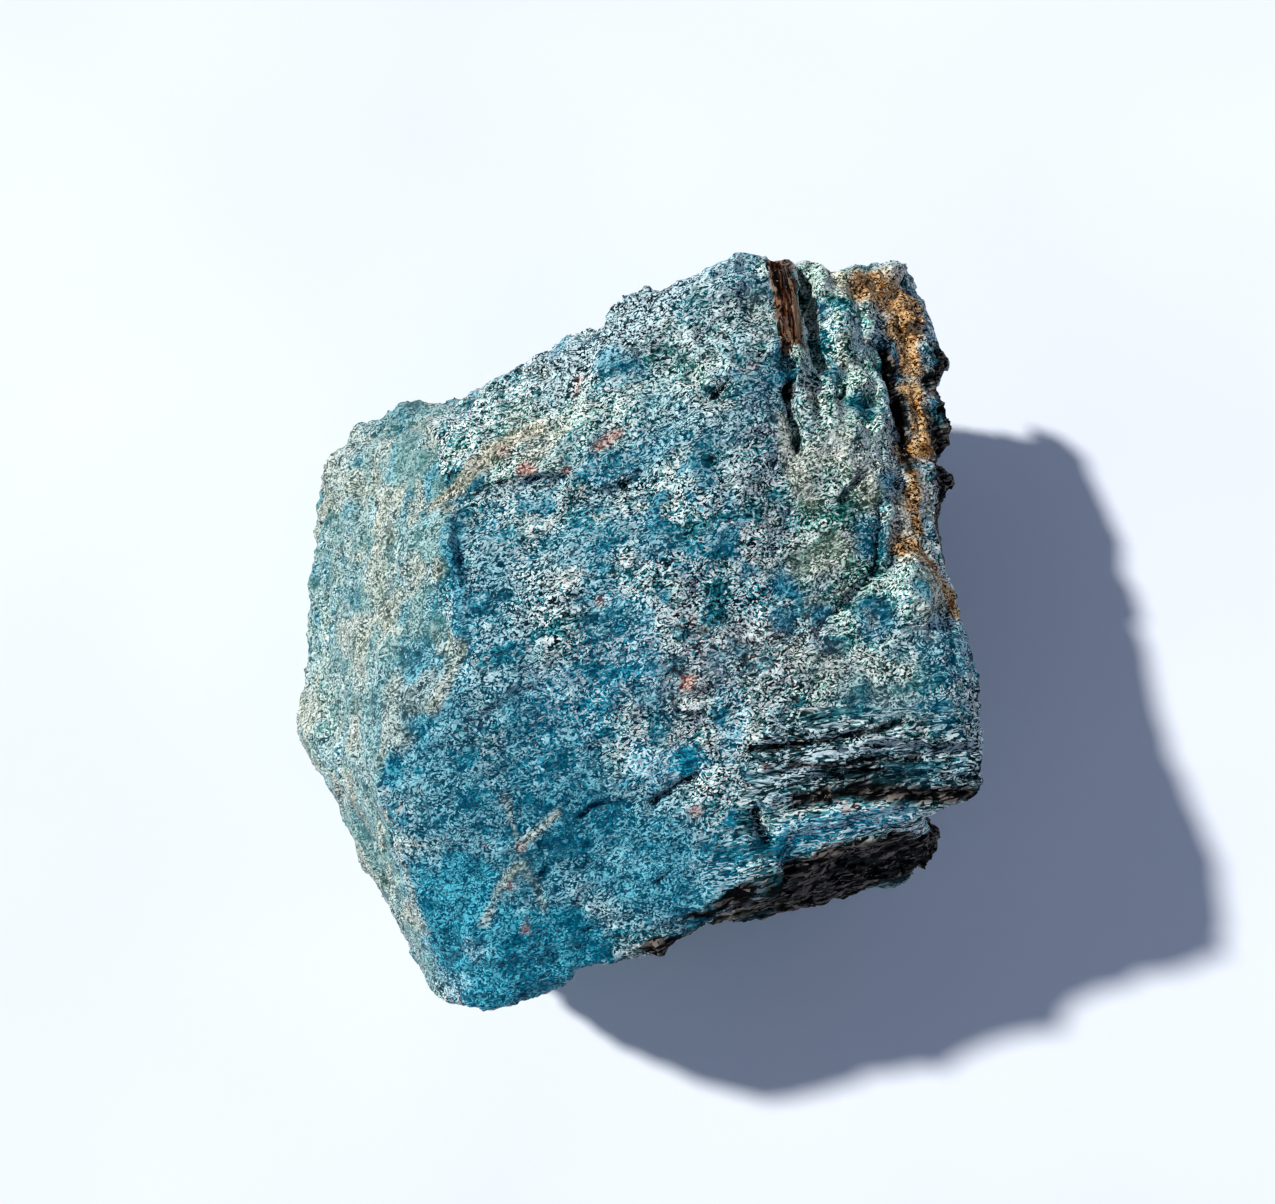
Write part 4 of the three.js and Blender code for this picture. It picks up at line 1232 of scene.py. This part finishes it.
class SugaryBreak:
    """Shader group: the pattern of tightly packed grains on a fresh break."""

    NAME = "sugary_break"
    INPUTS = {"Grain Size": 0.125, "Stretch": 1.2, "Turn": 17.0, "Tilt": 0.6, "Streaks": 0.3, "Clear": 0.0}
    # How fine the blocks, the larger grains and the thin lines are beside the finest specks.
    BLOCKS, GRAINS, LINES = 0.125, 0.43, 0.172
    # What the grain's calm and clear patches change, each from plain ground to full.
    BUSY = (1.0, 0.38)
    CALM_CLOUD = (1.0, 0.25)
    BLOCK_TONE, BLOCK_LEAN = (0.08, 0.3), (0.4, 1.2)
    SPECK_TONE, SPECK_LEAN = (0.82, 0.8), (1.3, 1.15)
    GRAIN_TONE, GRAIN_LEAN = 0.2, 0.55
    CALM_SHADE = 0.05

    @classmethod
    def tree(cls) -> bpy.types.NodeTree:
        """The group, made the first time that it is asked for."""
        return bpy.data.node_groups.get(cls.NAME) or cls._made()

    @classmethod
    def _made(cls) -> bpy.types.NodeTree:
        """Builds the group with its named inputs and outputs.

        Returns:
            The group.
        """
        tree = bpy.data.node_groups.new(cls.NAME, "ShaderNodeTree")
        maker = TreeMaker(tree)
        for name, value in cls.INPUTS.items():
            socket = tree.interface.new_socket(name, in_out="INPUT", socket_type="NodeSocketFloat")
            socket.default_value = value
        maker.sockets("OUTPUT", "Float", "Tone", "Cloud", "Fleck", "Speck")
        maker.sockets("OUTPUT", "Vector", "Normal")
        given = maker.add("NodeGroupInput").outputs
        rock = cls._rock_place(maker, given["Turn"], given["Stretch"])
        fine = maker.math("DIVIDE", 1.0, given["Grain Size"])
        blocks = maker.cells(rock, maker.math("MULTIPLY", fine, cls.BLOCKS))
        grains = maker.cells(rock, maker.math("MULTIPLY", fine, cls.GRAINS))
        specks = maker.cells(rock, fine)
        calm = maker.ranged(maker.noise(rock, 0.4, 3.0), 0.51, 0.63)
        busy = maker.changed(calm, *cls.BUSY)
        clear = given["Clear"]
        speck_tone = maker.math("MULTIPLY", maker.changed(clear, *cls.SPECK_TONE), busy)
        sizes = (
            (blocks, maker.changed(clear, *cls.BLOCK_TONE), maker.changed(clear, *cls.BLOCK_LEAN)),
            (grains, cls.GRAIN_TONE, cls.GRAIN_LEAN),
            (specks, speck_tone, maker.changed(clear, *cls.SPECK_LEAN)),
        )
        tone = maker.math("ADD", cls._streaks(maker, rock, given["Streaks"]), 0.5)
        tone = maker.math("ADD", tone, maker.math("MULTIPLY", cls._fine_lines(maker, rock, fine), busy))
        tone = maker.math("SUBTRACT", tone, maker.math("MULTIPLY", calm, cls.CALM_SHADE))
        lean = (0.0, 0.0, 0.0)
        for cells, tone_share, lean_share in sizes:
            own = maker.math("SUBTRACT", maker.part(cells, 0), 0.5)
            tone = maker.math("ADD", tone, maker.math("MULTIPLY", own, tone_share))
            lean = maker.vector("ADD", lean, maker.centred(cells, lean_share))
        outward = maker.add("ShaderNodeNewGeometry").outputs["Normal"]
        leaning = maker.vector("ADD", outward, maker.scaled(lean, given["Tilt"]))
        maker.add("NodeGroupOutput", {
            "Tone": tone,
            "Cloud": maker.math("MULTIPLY", cls._cloud(maker, rock), maker.changed(calm, *cls.CALM_CLOUD)),
            "Fleck": maker.ranged(maker.noise(rock, 0.75, 2.0), 0.64, 0.74),
            "Speck": maker.part(specks, 1),
            "Normal": maker.vector("NORMALIZE", leaning),
        })
        return tree

    @staticmethod
    def _rock_place(maker: TreeMaker, turn: Socket, stretch: Socket) -> Socket:
        """The place in millimetres along the grain of the rock, swayed so that no row is straight.

        Args:
            maker: Places the nodes.
            turn: Which way the grain of the rock runs, in degrees.
            stretch: How many times longer than wide the grains are.

        Returns:
            The place's socket.
        """
        turned = maker.add("ShaderNodeMapping", {
            "Vector": maker.add("ShaderNodeTexCoord").outputs["Object"],
            "Rotation": maker.triple(0.0, 0.0, maker.math("MULTIPLY", turn, -math.radians(1))),
            "Scale": (1 / MM,) * 3,
        }, vector_type="POINT").outputs[0]
        place = maker.vector("MULTIPLY", turned, maker.triple(maker.math("DIVIDE", 1.0, stretch), 1.0, 1.0))
        return maker.vector("ADD", place, maker.centred(maker.noise(place, 0.9, 3.0, "Color"), 1.1))

    @staticmethod
    def _cloud(maker: TreeMaker, place: Socket) -> Socket:
        """Where the rock turns from blue, at 0, to grey-green, at 1: wide clouds with small ones on them.

        Args:
            maker: Places the nodes.
            place: The place along the grain of the rock.

        Returns:
            The share's socket.
        """
        wide, small = maker.noise(place, 0.11, 2.0), maker.noise(place, 0.42, 4.0)
        both = maker.math("ADD", maker.math("MULTIPLY", wide, 0.45), maker.math("MULTIPLY", small, 0.55))
        return maker.ranged(both, 0.37, 0.6)

    @staticmethod
    def _streaks(maker: TreeMaker, place: Socket, amount: Socket) -> Socket:
        """Short dark and light lines along the grain of the rock."""
        lines = maker.noise(maker.vector("MULTIPLY", place, (0.22, 1.0, 1.0)), 1.7, 2.0)
        return maker.math("MULTIPLY", maker.math("SUBTRACT", lines, 0.5), amount)

    @classmethod
    def _fine_lines(cls, maker: TreeMaker, place: Socket, fine: Socket) -> Socket:
        """Thin light lines along the grains' borders, in patches.

        Args:
            maker: Places the nodes.
            place: The place along the grain of the rock.
            fine: How many of the finest specks lie on a millimetre.

        Returns:
            The lift's socket.
        """
        scale = maker.math("MULTIPLY", fine, cls.LINES)
        border = maker.cells(place, scale, "DISTANCE_TO_EDGE", "Distance")
        line = maker.ranged(border, 0.02, 0.13, 1.0, 0.0)
        patch = maker.ranged(maker.noise(place, 0.8, 2.0), 0.42, 0.62, 0.0, 0.28)
        return maker.math("MULTIPLY", line, patch)


class ApatitePalette:
    """Shader group: the rock's colour from a grain's tone and from the zones it lies in."""

    NAME = "apatite_palette"
    CREAM = 0.7
    # The lightest stops here and in the grounds below are white grains, and also stand in for glints as
    # painted highlights, since the finish mirrors little light.
    SEA_BLUE = shades(
        (0.0, 0, 14, 22), (0.2, 0, 56, 71), (0.4, 0, 99, 115), (0.6, 30, 143, 157),
        (0.8, 92, 192, 202), (0.93, 180, 238, 241), (1.0, 244, 252, 252),
    )
    SEA_GREEN = shades(
        (0.0, 0, 20, 22), (0.2, 22, 72, 71), (0.4, 66, 114, 108), (0.6, 106, 150, 141),
        (0.8, 156, 195, 184), (0.93, 210, 235, 225), (1.0, 248, 252, 243),
    )
    FLECK = shades((0.0, 60, 76, 70), (0.5, 162, 160, 144), (1.0, 250, 242, 228))
    GROUNDS = {
        Zone.PALE: shades(
            (0.0, 50, 94, 96), (0.26, 74, 120, 120), (0.5, 96, 141, 140), (0.76, 118, 160, 157),
            (1.0, 158, 191, 185),
        ),
        Zone.GREEN: shades(
            (0.0, 0, 30, 28), (0.25, 0, 80, 73), (0.5, 46, 132, 115), (0.76, 132, 202, 180),
            (1.0, 244, 255, 244),
        ),
        Zone.GREY: shades(
            (0.0, 0, 10, 14), (0.3, 8, 42, 50), (0.58, 42, 86, 93), (0.8, 94, 147, 153), (1.0, 218, 240, 243)
        ),
        Zone.DEEP: shades(
            (0.0, 0, 60, 84), (0.3, 0, 86, 111), (0.6, 0, 110, 135), (0.85, 0, 130, 154), (1.0, 88, 184, 202)
        ),
        Zone.BRIGHT: shades(
            (0.0, 0, 58, 80), (0.3, 0, 106, 134), (0.58, 30, 148, 173), (0.82, 92, 188, 206),
            (1.0, 212, 242, 246),
        ),
        Zone.TAN: shades(
            (0.0, 56, 68, 56), (0.3, 124, 132, 108), (0.62, 180, 178, 149), (1.0, 246, 238, 220)
        ),
        Zone.PINK: shades((0.0, 90, 50, 44), (0.5, 190, 124, 104), (1.0, 246, 214, 196)),
        Zone.BROWN: shades(
            (0.0, 8, 4, 2), (0.35, 38, 19, 10), (0.65, 86, 46, 22), (0.88, 126, 80, 48), (1.0, 172, 134, 102)
        ),
        Zone.RUST: shades(
            (0.0, 18, 9, 3), (0.3, 86, 48, 14), (0.58, 152, 92, 30), (0.82, 196, 134, 60),
            (1.0, 236, 202, 150),
        ),
        # Near black: the mica's colour, and painted shade where the mask marks the shaded walls and cracks.
        Zone.MICA_AND_SHADE: shades(
            (0.0, 0, 1, 2), (0.55, 4, 6, 8), (0.75, 20, 20, 21), (0.9, 58, 53, 50), (1.0, 112, 104, 97)
        ),
    }

    @classmethod
    def tree(cls) -> bpy.types.NodeTree:
        """The group, made the first time that it is asked for."""
        return bpy.data.node_groups.get(cls.NAME) or cls._made()

    @classmethod
    def _made(cls) -> bpy.types.NodeTree:
        """Builds the group with its named inputs and outputs.

        Returns:
            The group.
        """
        tree = bpy.data.node_groups.new(cls.NAME, "ShaderNodeTree")
        maker = TreeMaker(tree)
        maker.sockets("INPUT", "Float", "Tone", "Cloud", "Fleck", *(zone.value for zone in cls.GROUNDS))
        maker.sockets("OUTPUT", "Color", "Colour")
        given = maker.add("NodeGroupInput").outputs
        tone = given["Tone"]
        colour = maker.blend(given["Cloud"], maker.ramp(tone, cls.SEA_BLUE), maker.ramp(tone, cls.SEA_GREEN))
        creamy = maker.math("MULTIPLY", given["Fleck"], cls.CREAM)
        colour = maker.blend(creamy, colour, maker.ramp(tone, cls.FLECK))
        for zone, stops in cls.GROUNDS.items():
            colour = maker.blend(given[zone.value], colour, maker.ramp(tone, stops))
        maker.add("NodeGroupOutput", {"Colour": colour})
        return tree


def started_material(name: str) -> tuple[bpy.types.Material, TreeMaker]:
    """A new, empty material and the maker of its nodes.

    Args:
        name: The material's name.

    Returns:
        The material and its maker.
    """
    material = bpy.data.materials.new(name)
    material.use_nodes = True
    return material, TreeMaker(material.node_tree)


@dataclass(frozen=True)
class RockFinish:
    """The dull, glittering break of the rock.

    Attributes:
        name: The material's name.
        grain: The size of its grains, in millimetres.
        stretch: How many times longer the grains are along the grain of the rock.
        turn: Which way the grain of the rock runs, in degrees from +X towards +Y.
        tilt: How much the grains' faces lean.
        contrast: How far apart the lightest and darkest grains are.
        shine: How strongly it mirrors light.
        smoothest: The roughness of the smoothest grains.
        roughest: The roughness of the roughest grains.
        own_tone: How much of the tone comes from the piece's own number for each grain.
    """

    MIDDLE_TONE = 0.42
    # How strongly the relief's height paints shade into the hollows and light onto the bumps.
    HEIGHT_SHADE_TONE = 0.5
    CLOUD_TONE = 0.12
    CLEAR_TONE = 0.13
    REFRACTION = 1.63

    name: str
    grain: float = 0.125
    stretch: float = 1.4
    turn: float = 17.0
    tilt: float = 0.75
    contrast: float = 3.3
    shine: float = 0.045
    smoothest: float = 0.12
    roughest: float = 0.45
    own_tone: float = 0.0

    def material(self) -> bpy.types.Material:
        """Makes the material.

        Returns:
            The material.
        """
        material, maker = started_material(self.name)
        sugar = maker.add("ShaderNodeGroup", {
            "Grain Size": self.grain, "Stretch": self.stretch, "Turn": self.turn, "Tilt": self.tilt,
            "Clear": maker.attribute(Zone.CLEAR.value),
        }, node_tree=SugaryBreak.tree()).outputs
        palette = maker.add("ShaderNodeGroup", {
            "Tone": self._tone(maker, sugar["Tone"], sugar["Cloud"]),
            "Cloud": sugar["Cloud"],
            "Fleck": sugar["Fleck"],
            **{zone.value: maker.attribute(zone.value) for zone in ApatitePalette.GROUNDS},
        }, node_tree=ApatitePalette.tree())
        surface = maker.add("ShaderNodeBsdfPrincipled", {
            "Base Color": palette.outputs["Colour"],
            "Roughness": maker.ranged(sugar["Speck"], 0.0, 1.0, self.smoothest, self.roughest),
            "Normal": sugar["Normal"],
            "IOR": self.REFRACTION,
            "Specular IOR Level": self.shine,
        })
        maker.add("ShaderNodeOutputMaterial", {"Surface": surface.outputs[0]})
        return material

    def _tone(self, maker: TreeMaker, sugar: Socket, cloud: Socket) -> Socket:
        """Each grain's lightness, spread by the contrast, with painted shade that darkens the hollows and
        lightens the bumps.

        Args:
            maker: Places the nodes.
            sugar: The tone that the pattern of grains gives.
            cloud: Where the rock is grey-green.

        Returns:
            The tone's socket, from 0 to 1.
        """
        own = maker.math("MULTIPLY", maker.attribute("tone"), self.own_tone)
        mixed = maker.math("ADD", own, maker.math("MULTIPLY", sugar, 1 - self.own_tone))
        tone = maker.math("MULTIPLY", maker.math("SUBTRACT", mixed, 0.5), self.contrast)
        # Painted shade: the relief's height darkens the hollows and cracks and lightens the bumps.
        height = maker.math("SUBTRACT", maker.attribute("height"), 0.5)
        clear = maker.attribute(Zone.CLEAR.value)
        for lift, amount in ((height, self.HEIGHT_SHADE_TONE), (cloud, self.CLOUD_TONE), (clear, self.CLEAR_TONE)):
            tone = maker.math("ADD", tone, maker.math("MULTIPLY", lift, amount))
        return maker.math("ADD", tone, self.MIDDLE_TONE, clamp=True)


@dataclass(frozen=True)
class PaperFinish:
    """The pale, matt ground that the stone lies on."""

    name: str = "pale_ground"
    roughness: float = 0.9

    def material(self) -> bpy.types.Material:
        """Makes the material.

        Returns:
            The material.
        """
        material, maker = started_material(self.name)
        sway = maker.noise(maker.add("ShaderNodeTexCoord").outputs["Object"], 14.0, 2.0)
        colour = maker.ramp(sway, shades((0.3, 234, 240, 250), (0.7, 244, 249, 254)))
        surface = maker.add("ShaderNodeBsdfPrincipled", {"Base Color": colour, "Roughness": self.roughness})
        maker.add("ShaderNodeOutputMaterial", {"Surface": surface.outputs[0]})
        return material


@dataclass
class CrystalShapes:
    """A few small uneven crystals, kept only while grains are scattered.

    Attributes:
        thickness: How thick each is for its width.
        seed: Which shapes.
        count: How many different shapes.
        corners: How many corners each has.
    """

    thickness: float
    seed: int
    count: int = 6
    corners: int = 9

    def build(self) -> bpy.types.Collection:
        """Makes the shapes, each about one unit across.

        Returns:
            The collection that holds them.
        """
        draw = np.random.default_rng(self.seed)
        shapes = bpy.data.collections.new("crystal_shapes")
        bpy.context.scene.collection.children.link(shapes)
        for index in range(self.count):
            corners = draw.normal(size=(self.corners, 3))
            corners /= np.linalg.norm(corners, axis=1)[:, None]
            corners *= 0.5 * draw.uniform(0.8, 1.15, size=(self.corners, 1))
            corners[:, 2] *= self.thickness
            hull = bmesh.new()
            for corner in corners:
                hull.verts.new(corner)
            made = bmesh.ops.convex_hull(hull, input=hull.verts)
            inner = [item for item in made["geom_interior"] if isinstance(item, bmesh.types.BMVert)]
            bmesh.ops.delete(hull, geom=inner, context="VERTS")
            bmesh.ops.recalc_face_normals(hull, faces=hull.faces)
            mesh = bpy.data.meshes.new(f"crystal_{index}")
            hull.to_mesh(mesh)
            hull.free()
            shapes.objects.link(bpy.data.objects.new(f"crystal_{index}", mesh))
        return shapes

    @staticmethod
    def clear(shapes: bpy.types.Collection) -> None:
        """Deletes the shapes once they are no longer needed.

        Args:
            shapes: The collection that holds them.
        """
        for shape in list(shapes.objects):
            mesh = shape.data
            bpy.data.objects.remove(shape)
            bpy.data.meshes.remove(mesh)
        bpy.data.collections.remove(shapes)


@dataclass(frozen=True)
class GrainCrust:
    """Small crystals that grow out of the stone's surface, all one mesh.

    Attributes:
        name: The piece's name.
        zone: The mask that says where the crust grows, or none for the blue ground.
        seed: Which scatter.
        per_square_mm: How many grains lie on a square millimetre where the crust is full.
        smallest: The smallest grain's width, in millimetres.
        largest: The largest grain's width, in millimetres.
        sink: How much of a grain's width is below the surface.
        thickness: How thick a grain is for its width.
        lean: How far a grain leans from lying along the surface at most, in radians.
    """

    SEED_STEP = 31
    TURN_CHANNEL = 3
    SIDE_CHANNEL = 7

    name: str
    zone: Zone | None
    seed: int
    per_square_mm: float
    smallest: float
    largest: float
    sink: float
    thickness: float
    lean: float = math.pi

    def build(self, body: bpy.types.Object, material: bpy.types.Material) -> bpy.types.Object:
        """Scatters the grains over the stone.

        Args:
            body: The stone's body, with its zone masks.
            material: The grains' finish.

        Returns:
            The crust as a plain mesh.
        """
        store(body.data, "share", self._share(body.data))
        shapes = CrystalShapes(self.thickness, self.seed).build()
        tree = self._tree(shapes, material)
        grower = placed(self.name, body.data)
        modifier = grower.modifiers.new("grains", "NODES")
        modifier.node_group = tree
        sizes = {
            "Density": self.per_square_mm / MM**2, "Smallest": self.smallest * MM,
            "Largest": self.largest * MM, "Sink": self.sink, "Seed": self.seed,
        }
        for item in tree.interface.items_tree:
            if item.item_type == "SOCKET" and item.in_out == "INPUT" and item.name in sizes:
                modifier[item.identifier] = sizes[item.name]
        evaluated = grower.evaluated_get(bpy.context.evaluated_depsgraph_get())
        mesh = bpy.data.meshes.new_from_object(evaluated)
        mesh.name = self.name
        bpy.data.objects.remove(grower)
        bpy.data.node_groups.remove(tree)
        CrystalShapes.clear(shapes)
        write_points(mesh, kept_inside(read_points(mesh)))
        body.data.attributes.remove(body.data.attributes["share"])
        return placed(self.name, mesh)

    def _share(self, mesh: bpy.types.Mesh) -> np.ndarray:
        """How fully this crust grows at each point of the stone.

        Args:
            mesh: The stone's mesh, with its zone masks.

        Returns:
            A share from 0 to 1 for each point.
        """
        if self.zone is None:
            bare = (1 - stored(mesh, Zone.RUST.value)) * (1 - stored(mesh, Zone.MICA_AND_SHADE.value))
            share = bare * (1 - 0.7 * stored(mesh, Zone.CLEAR.value))
        else:
            share = eased(stored(mesh, self.zone.value), 0.25, 0.7)
        return share * stored(mesh, "open_ground")

    def _tree(self, shapes: bpy.types.Collection, material: bpy.types.Material) -> bpy.types.NodeTree:
        """The tree that scatters the grains.

        Args:
            shapes: The crystals to choose from.
            material: The grains' finish.

        Returns:
            The tree, with its sizes as named inputs.
        """
        tree = bpy.data.node_groups.new(self.name, "GeometryNodeTree")
        maker = TreeMaker(tree)
        maker.sockets("INPUT", "Geometry", "Geometry")
        maker.sockets("INPUT", "Float", "Density", "Smallest", "Largest", "Sink")
        maker.sockets("INPUT", "Int", "Seed")
        maker.sockets("OUTPUT", "Geometry", "Geometry")
        given = maker.add("NodeGroupInput").outputs
        seed = given["Seed"]
        share = maker.add("GeometryNodeInputNamedAttribute", {"Name": "share"}, data_type="FLOAT")
        density = maker.math("MULTIPLY", given["Density"], share.outputs["Attribute"])
        spread = maker.add("GeometryNodeDistributePointsOnFaces", {
            "Mesh": given["Geometry"], "Density": density, "Seed": seed,
        }, distribute_method="RANDOM").outputs
        width = maker.math("MULTIPLY", maker.math("POWER", self._random(maker, seed, 1), 2.0),
                           maker.math("SUBTRACT", given["Largest"], given["Smallest"]))
        width = maker.math("ADD", width, given["Smallest"])
        depth = maker.math("MULTIPLY", maker.math("MULTIPLY", width, given["Sink"]), -1.0)
        sunk = maker.add("GeometryNodeSetPosition", {
            "Geometry": spread["Points"], "Offset": maker.scaled(spread["Normal"], depth),
        })
        toned = maker.add("GeometryNodeStoreNamedAttribute", {
            "Geometry": sunk.outputs[0], "Name": "tone", "Value": self._random(maker, seed, 2),
        }, data_type="FLOAT", domain="POINT")
        choices = maker.add("GeometryNodeCollectionInfo", {
            "Collection": shapes, "Separate Children": True, "Reset Children": True,
        })
        planted = maker.add("GeometryNodeInstanceOnPoints", {
            "Points": toned.outputs[0],
            "Instance": choices.outputs[0],
            "Pick Instance": True,
            "Rotation": self._turn(maker, seed, spread["Rotation"]),
            "Scale": self._stretch(maker, seed, width),
        })
        real = maker.add("GeometryNodeRealizeInstances", {"Geometry": planted.outputs[0]})
        dressed = maker.add("GeometryNodeSetMaterial", {"Geometry": real.outputs[0], "Material": material})
        maker.add("NodeGroupOutput", {"Geometry": dressed.outputs[0]})
        return tree

    @classmethod
    def _random(cls, maker: TreeMaker, seed: Socket, channel: int) -> Socket:
        """A number from 0 to 1 for each grain."""
        own = maker.math("ADD", seed, float(channel * cls.SEED_STEP))
        return maker.add("FunctionNodeRandomValue", {"Seed": own}, data_type="FLOAT").outputs[1]

    def _turn(self, maker: TreeMaker, seed: Socket, surface: Socket) -> Socket:
        """How each grain is turned: leaning from the surface, and any way round.

        Args:
            maker: Places the nodes.
            seed: The scatter's seed.
            surface: The rotation that lays a grain on the surface.

        Returns:
            The rotation's socket.
        """
        angles = []
        for axis, most in enumerate((self.lean, self.lean, math.pi)):
            draw = self._random(maker, seed, self.TURN_CHANNEL + axis)
            angles.append(maker.math("MULTIPLY", maker.math("SUBTRACT", draw, 0.5), 2 * most))
        feeds = {"Rotation": surface, "Rotate By": maker.triple(*angles)}
        return maker.add("FunctionNodeRotateRotation", feeds, rotation_space="LOCAL").outputs[0]

    def _stretch(self, maker: TreeMaker, seed: Socket, width: Socket) -> Socket:
        """Each grain's size along its own three sides.

        Args:
            maker: Places the nodes.
            seed: The scatter's seed.
            width: Each grain's width.

        Returns:
            The three sizes' socket.
        """
        sides = []
        for axis in range(3):
            draw = self._random(maker, seed, self.SIDE_CHANNEL + axis)
            share = maker.math("ADD", maker.math("MULTIPLY", draw, 0.7), 0.65)
            sides.append(maker.math("MULTIPLY", width, share))
        return maker.triple(*sides)


@dataclass
class Studio:
    """The floor, the lights and the camera.

    Attributes:
        floor_half: Half the side of the square floor, in metres.
        floor_gap: How far the floor is below the stone, in millimetres.
        tilt: How far the camera leans from straight down, in degrees.
        distance: From the camera to the floor along its line of sight, in millimetres.
        aim: Where that line meets the floor, in millimetres.
        focal: The lens's focal length for a sensor 36 mm wide.
        sun_height: How high the key light stands, in degrees.
        sun_turn: Which way its light travels on plan, in degrees from +X towards -Y.
        sun_width: How wide the key light looks from the stone, in degrees.
        sun_colour: The key light's colour.
        key_strength: How strong the key light is.
        fill_colour: The colour of the room's light.
        fill_strength: How strong the room's light is.
    """

    floor_half: float = 1.5
    floor_gap: float = 0.02
    tilt: float = 8.0
    distance: float = 157.9
    aim: Plan = (3.0, 5.2)
    focal: float = 42.35
    sun_height: float = 45.0
    sun_turn: float = 26.0
    sun_width: float = 3.5
    sun_colour: Point = (1.0, 0.985, 0.96)
    key_strength: float = 3.9
    fill_colour: Rgba = (0.72, 0.84, 1.2, 1.0)
    fill_strength: float = 0.24

    def build(self) -> None:
        """Makes the whole studio."""
        self._floor()
        self._key()
        self._fill()
        self._camera()
        bpy.context.scene.view_settings.view_transform = "Standard"

    def _floor(self) -> None:
        """A wide, pale, level ground just under the stone."""
        side = self.floor_half
        corners = [(-side, -side), (side, -side), (side, side), (-side, side)]
        mesh = bpy.data.meshes.new("pale_ground")
        mesh.from_pydata([(x, y, -self.floor_gap * MM) for x, y in corners], [], [(0, 1, 2, 3)])
        mesh.materials.append(PaperFinish().material())
        floor = placed("pale_ground", mesh)

    def _key(self) -> None:
        """The soft key light from the upper left."""
        light = bpy.data.lights.new("key_light", "SUN")
        light.energy = self.key_strength
        light.angle = math.radians(self.sun_width)
        light.color = self.sun_colour
        lamp = placed("key_light", light)
        lamp.rotation_euler = (math.radians(90 - self.sun_height), 0, math.radians(-90 - self.sun_turn))

    def _fill(self) -> None:
        """The even, slightly blue light of the room."""
        world = bpy.data.worlds.new("soft_fill")
        world.use_nodes = True
        ground = world.node_tree.nodes["Background"]
        ground.inputs["Color"].default_value = self.fill_colour
        ground.inputs["Strength"].default_value = self.fill_strength
        bpy.context.scene.world = world

    def _camera(self) -> None:
        """The camera, nearly overhead, at the photograph's viewing angle."""
        lens = bpy.data.cameras.new("camera")
        lens.lens = self.focal
        lens.sensor_width = 36
        lens.clip_start = 0.01
        camera = placed("camera", lens)
        lean = math.radians(self.tilt)
        back = self.distance * math.sin(lean)
        camera.location = (self.aim[0] * MM, (self.aim[1] - back) * MM, self.distance * math.cos(lean) * MM)
        camera.rotation_euler = (lean, 0, 0)
        bpy.context.scene.camera = camera


def finish_piece(piece: bpy.types.Object) -> None:
    """Ties a piece to the stone's body, hides the CAD solid and logs its triangles.

    Args:
        piece: The finished piece.
    """
    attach(piece, BODY)
    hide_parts(STONE_NODE)
    piece.data.calc_loop_triangles()
    LOG.info("%s: %d triangles", piece.name, len(piece.data.loop_triangles))


def main() -> None:
    """Builds the studio, the stone and its crusts, and reports each piece."""
    logging.basicConfig(level=logging.INFO, format="%(name)s: %(message)s")
    Studio().build()
    rock = RockFinish("sugary_apatite").material()
    # The finish of the mica flakes and of the dark walls, whose darkness is partly painted shade.
    mica = RockFinish(
        "layered_mica_and_shade", grain=0.24, stretch=4.0, tilt=0.8, contrast=2.0, shine=0.03,
        smoothest=0.55, roughest=0.9,
    ).material()
    layered = RockFinish("layered_apatite", grain=0.115, stretch=3.6, turn=8.0, contrast=2.8).material()
    fibrous = RockFinish("fibrous_break", grain=0.16, stretch=8.0, turn=96.0, contrast=3.0).material()
    body = StoneBody().build((rock, layered, fibrous, mica))
    finish_piece(body)
    crystal = RockFinish("apatite_crystals", grain=0.4, tilt=0.3, contrast=2.4, own_tone=0.55).material()
    sugar = GrainCrust("sugar_grains", None, 21, 0.7, smallest=0.25, largest=0.55, sink=0.4, thickness=0.85)
    rust = GrainCrust("rust_crumbs", Zone.RUST, 22, 4.5, smallest=0.3, largest=0.7, sink=0.3, thickness=0.8)
    flakes = GrainCrust(
        "mica_flakes", Zone.MICA_AND_SHADE, 23, 2.6, smallest=0.3, largest=0.8, sink=0.3, thickness=0.18, lean=0.35
    )
    for crust, finish in ((sugar, crystal), (rust, crystal), (flakes, mica)):
        finish_piece(crust.build(body, finish))


if __name__ == "__main__":
    main()
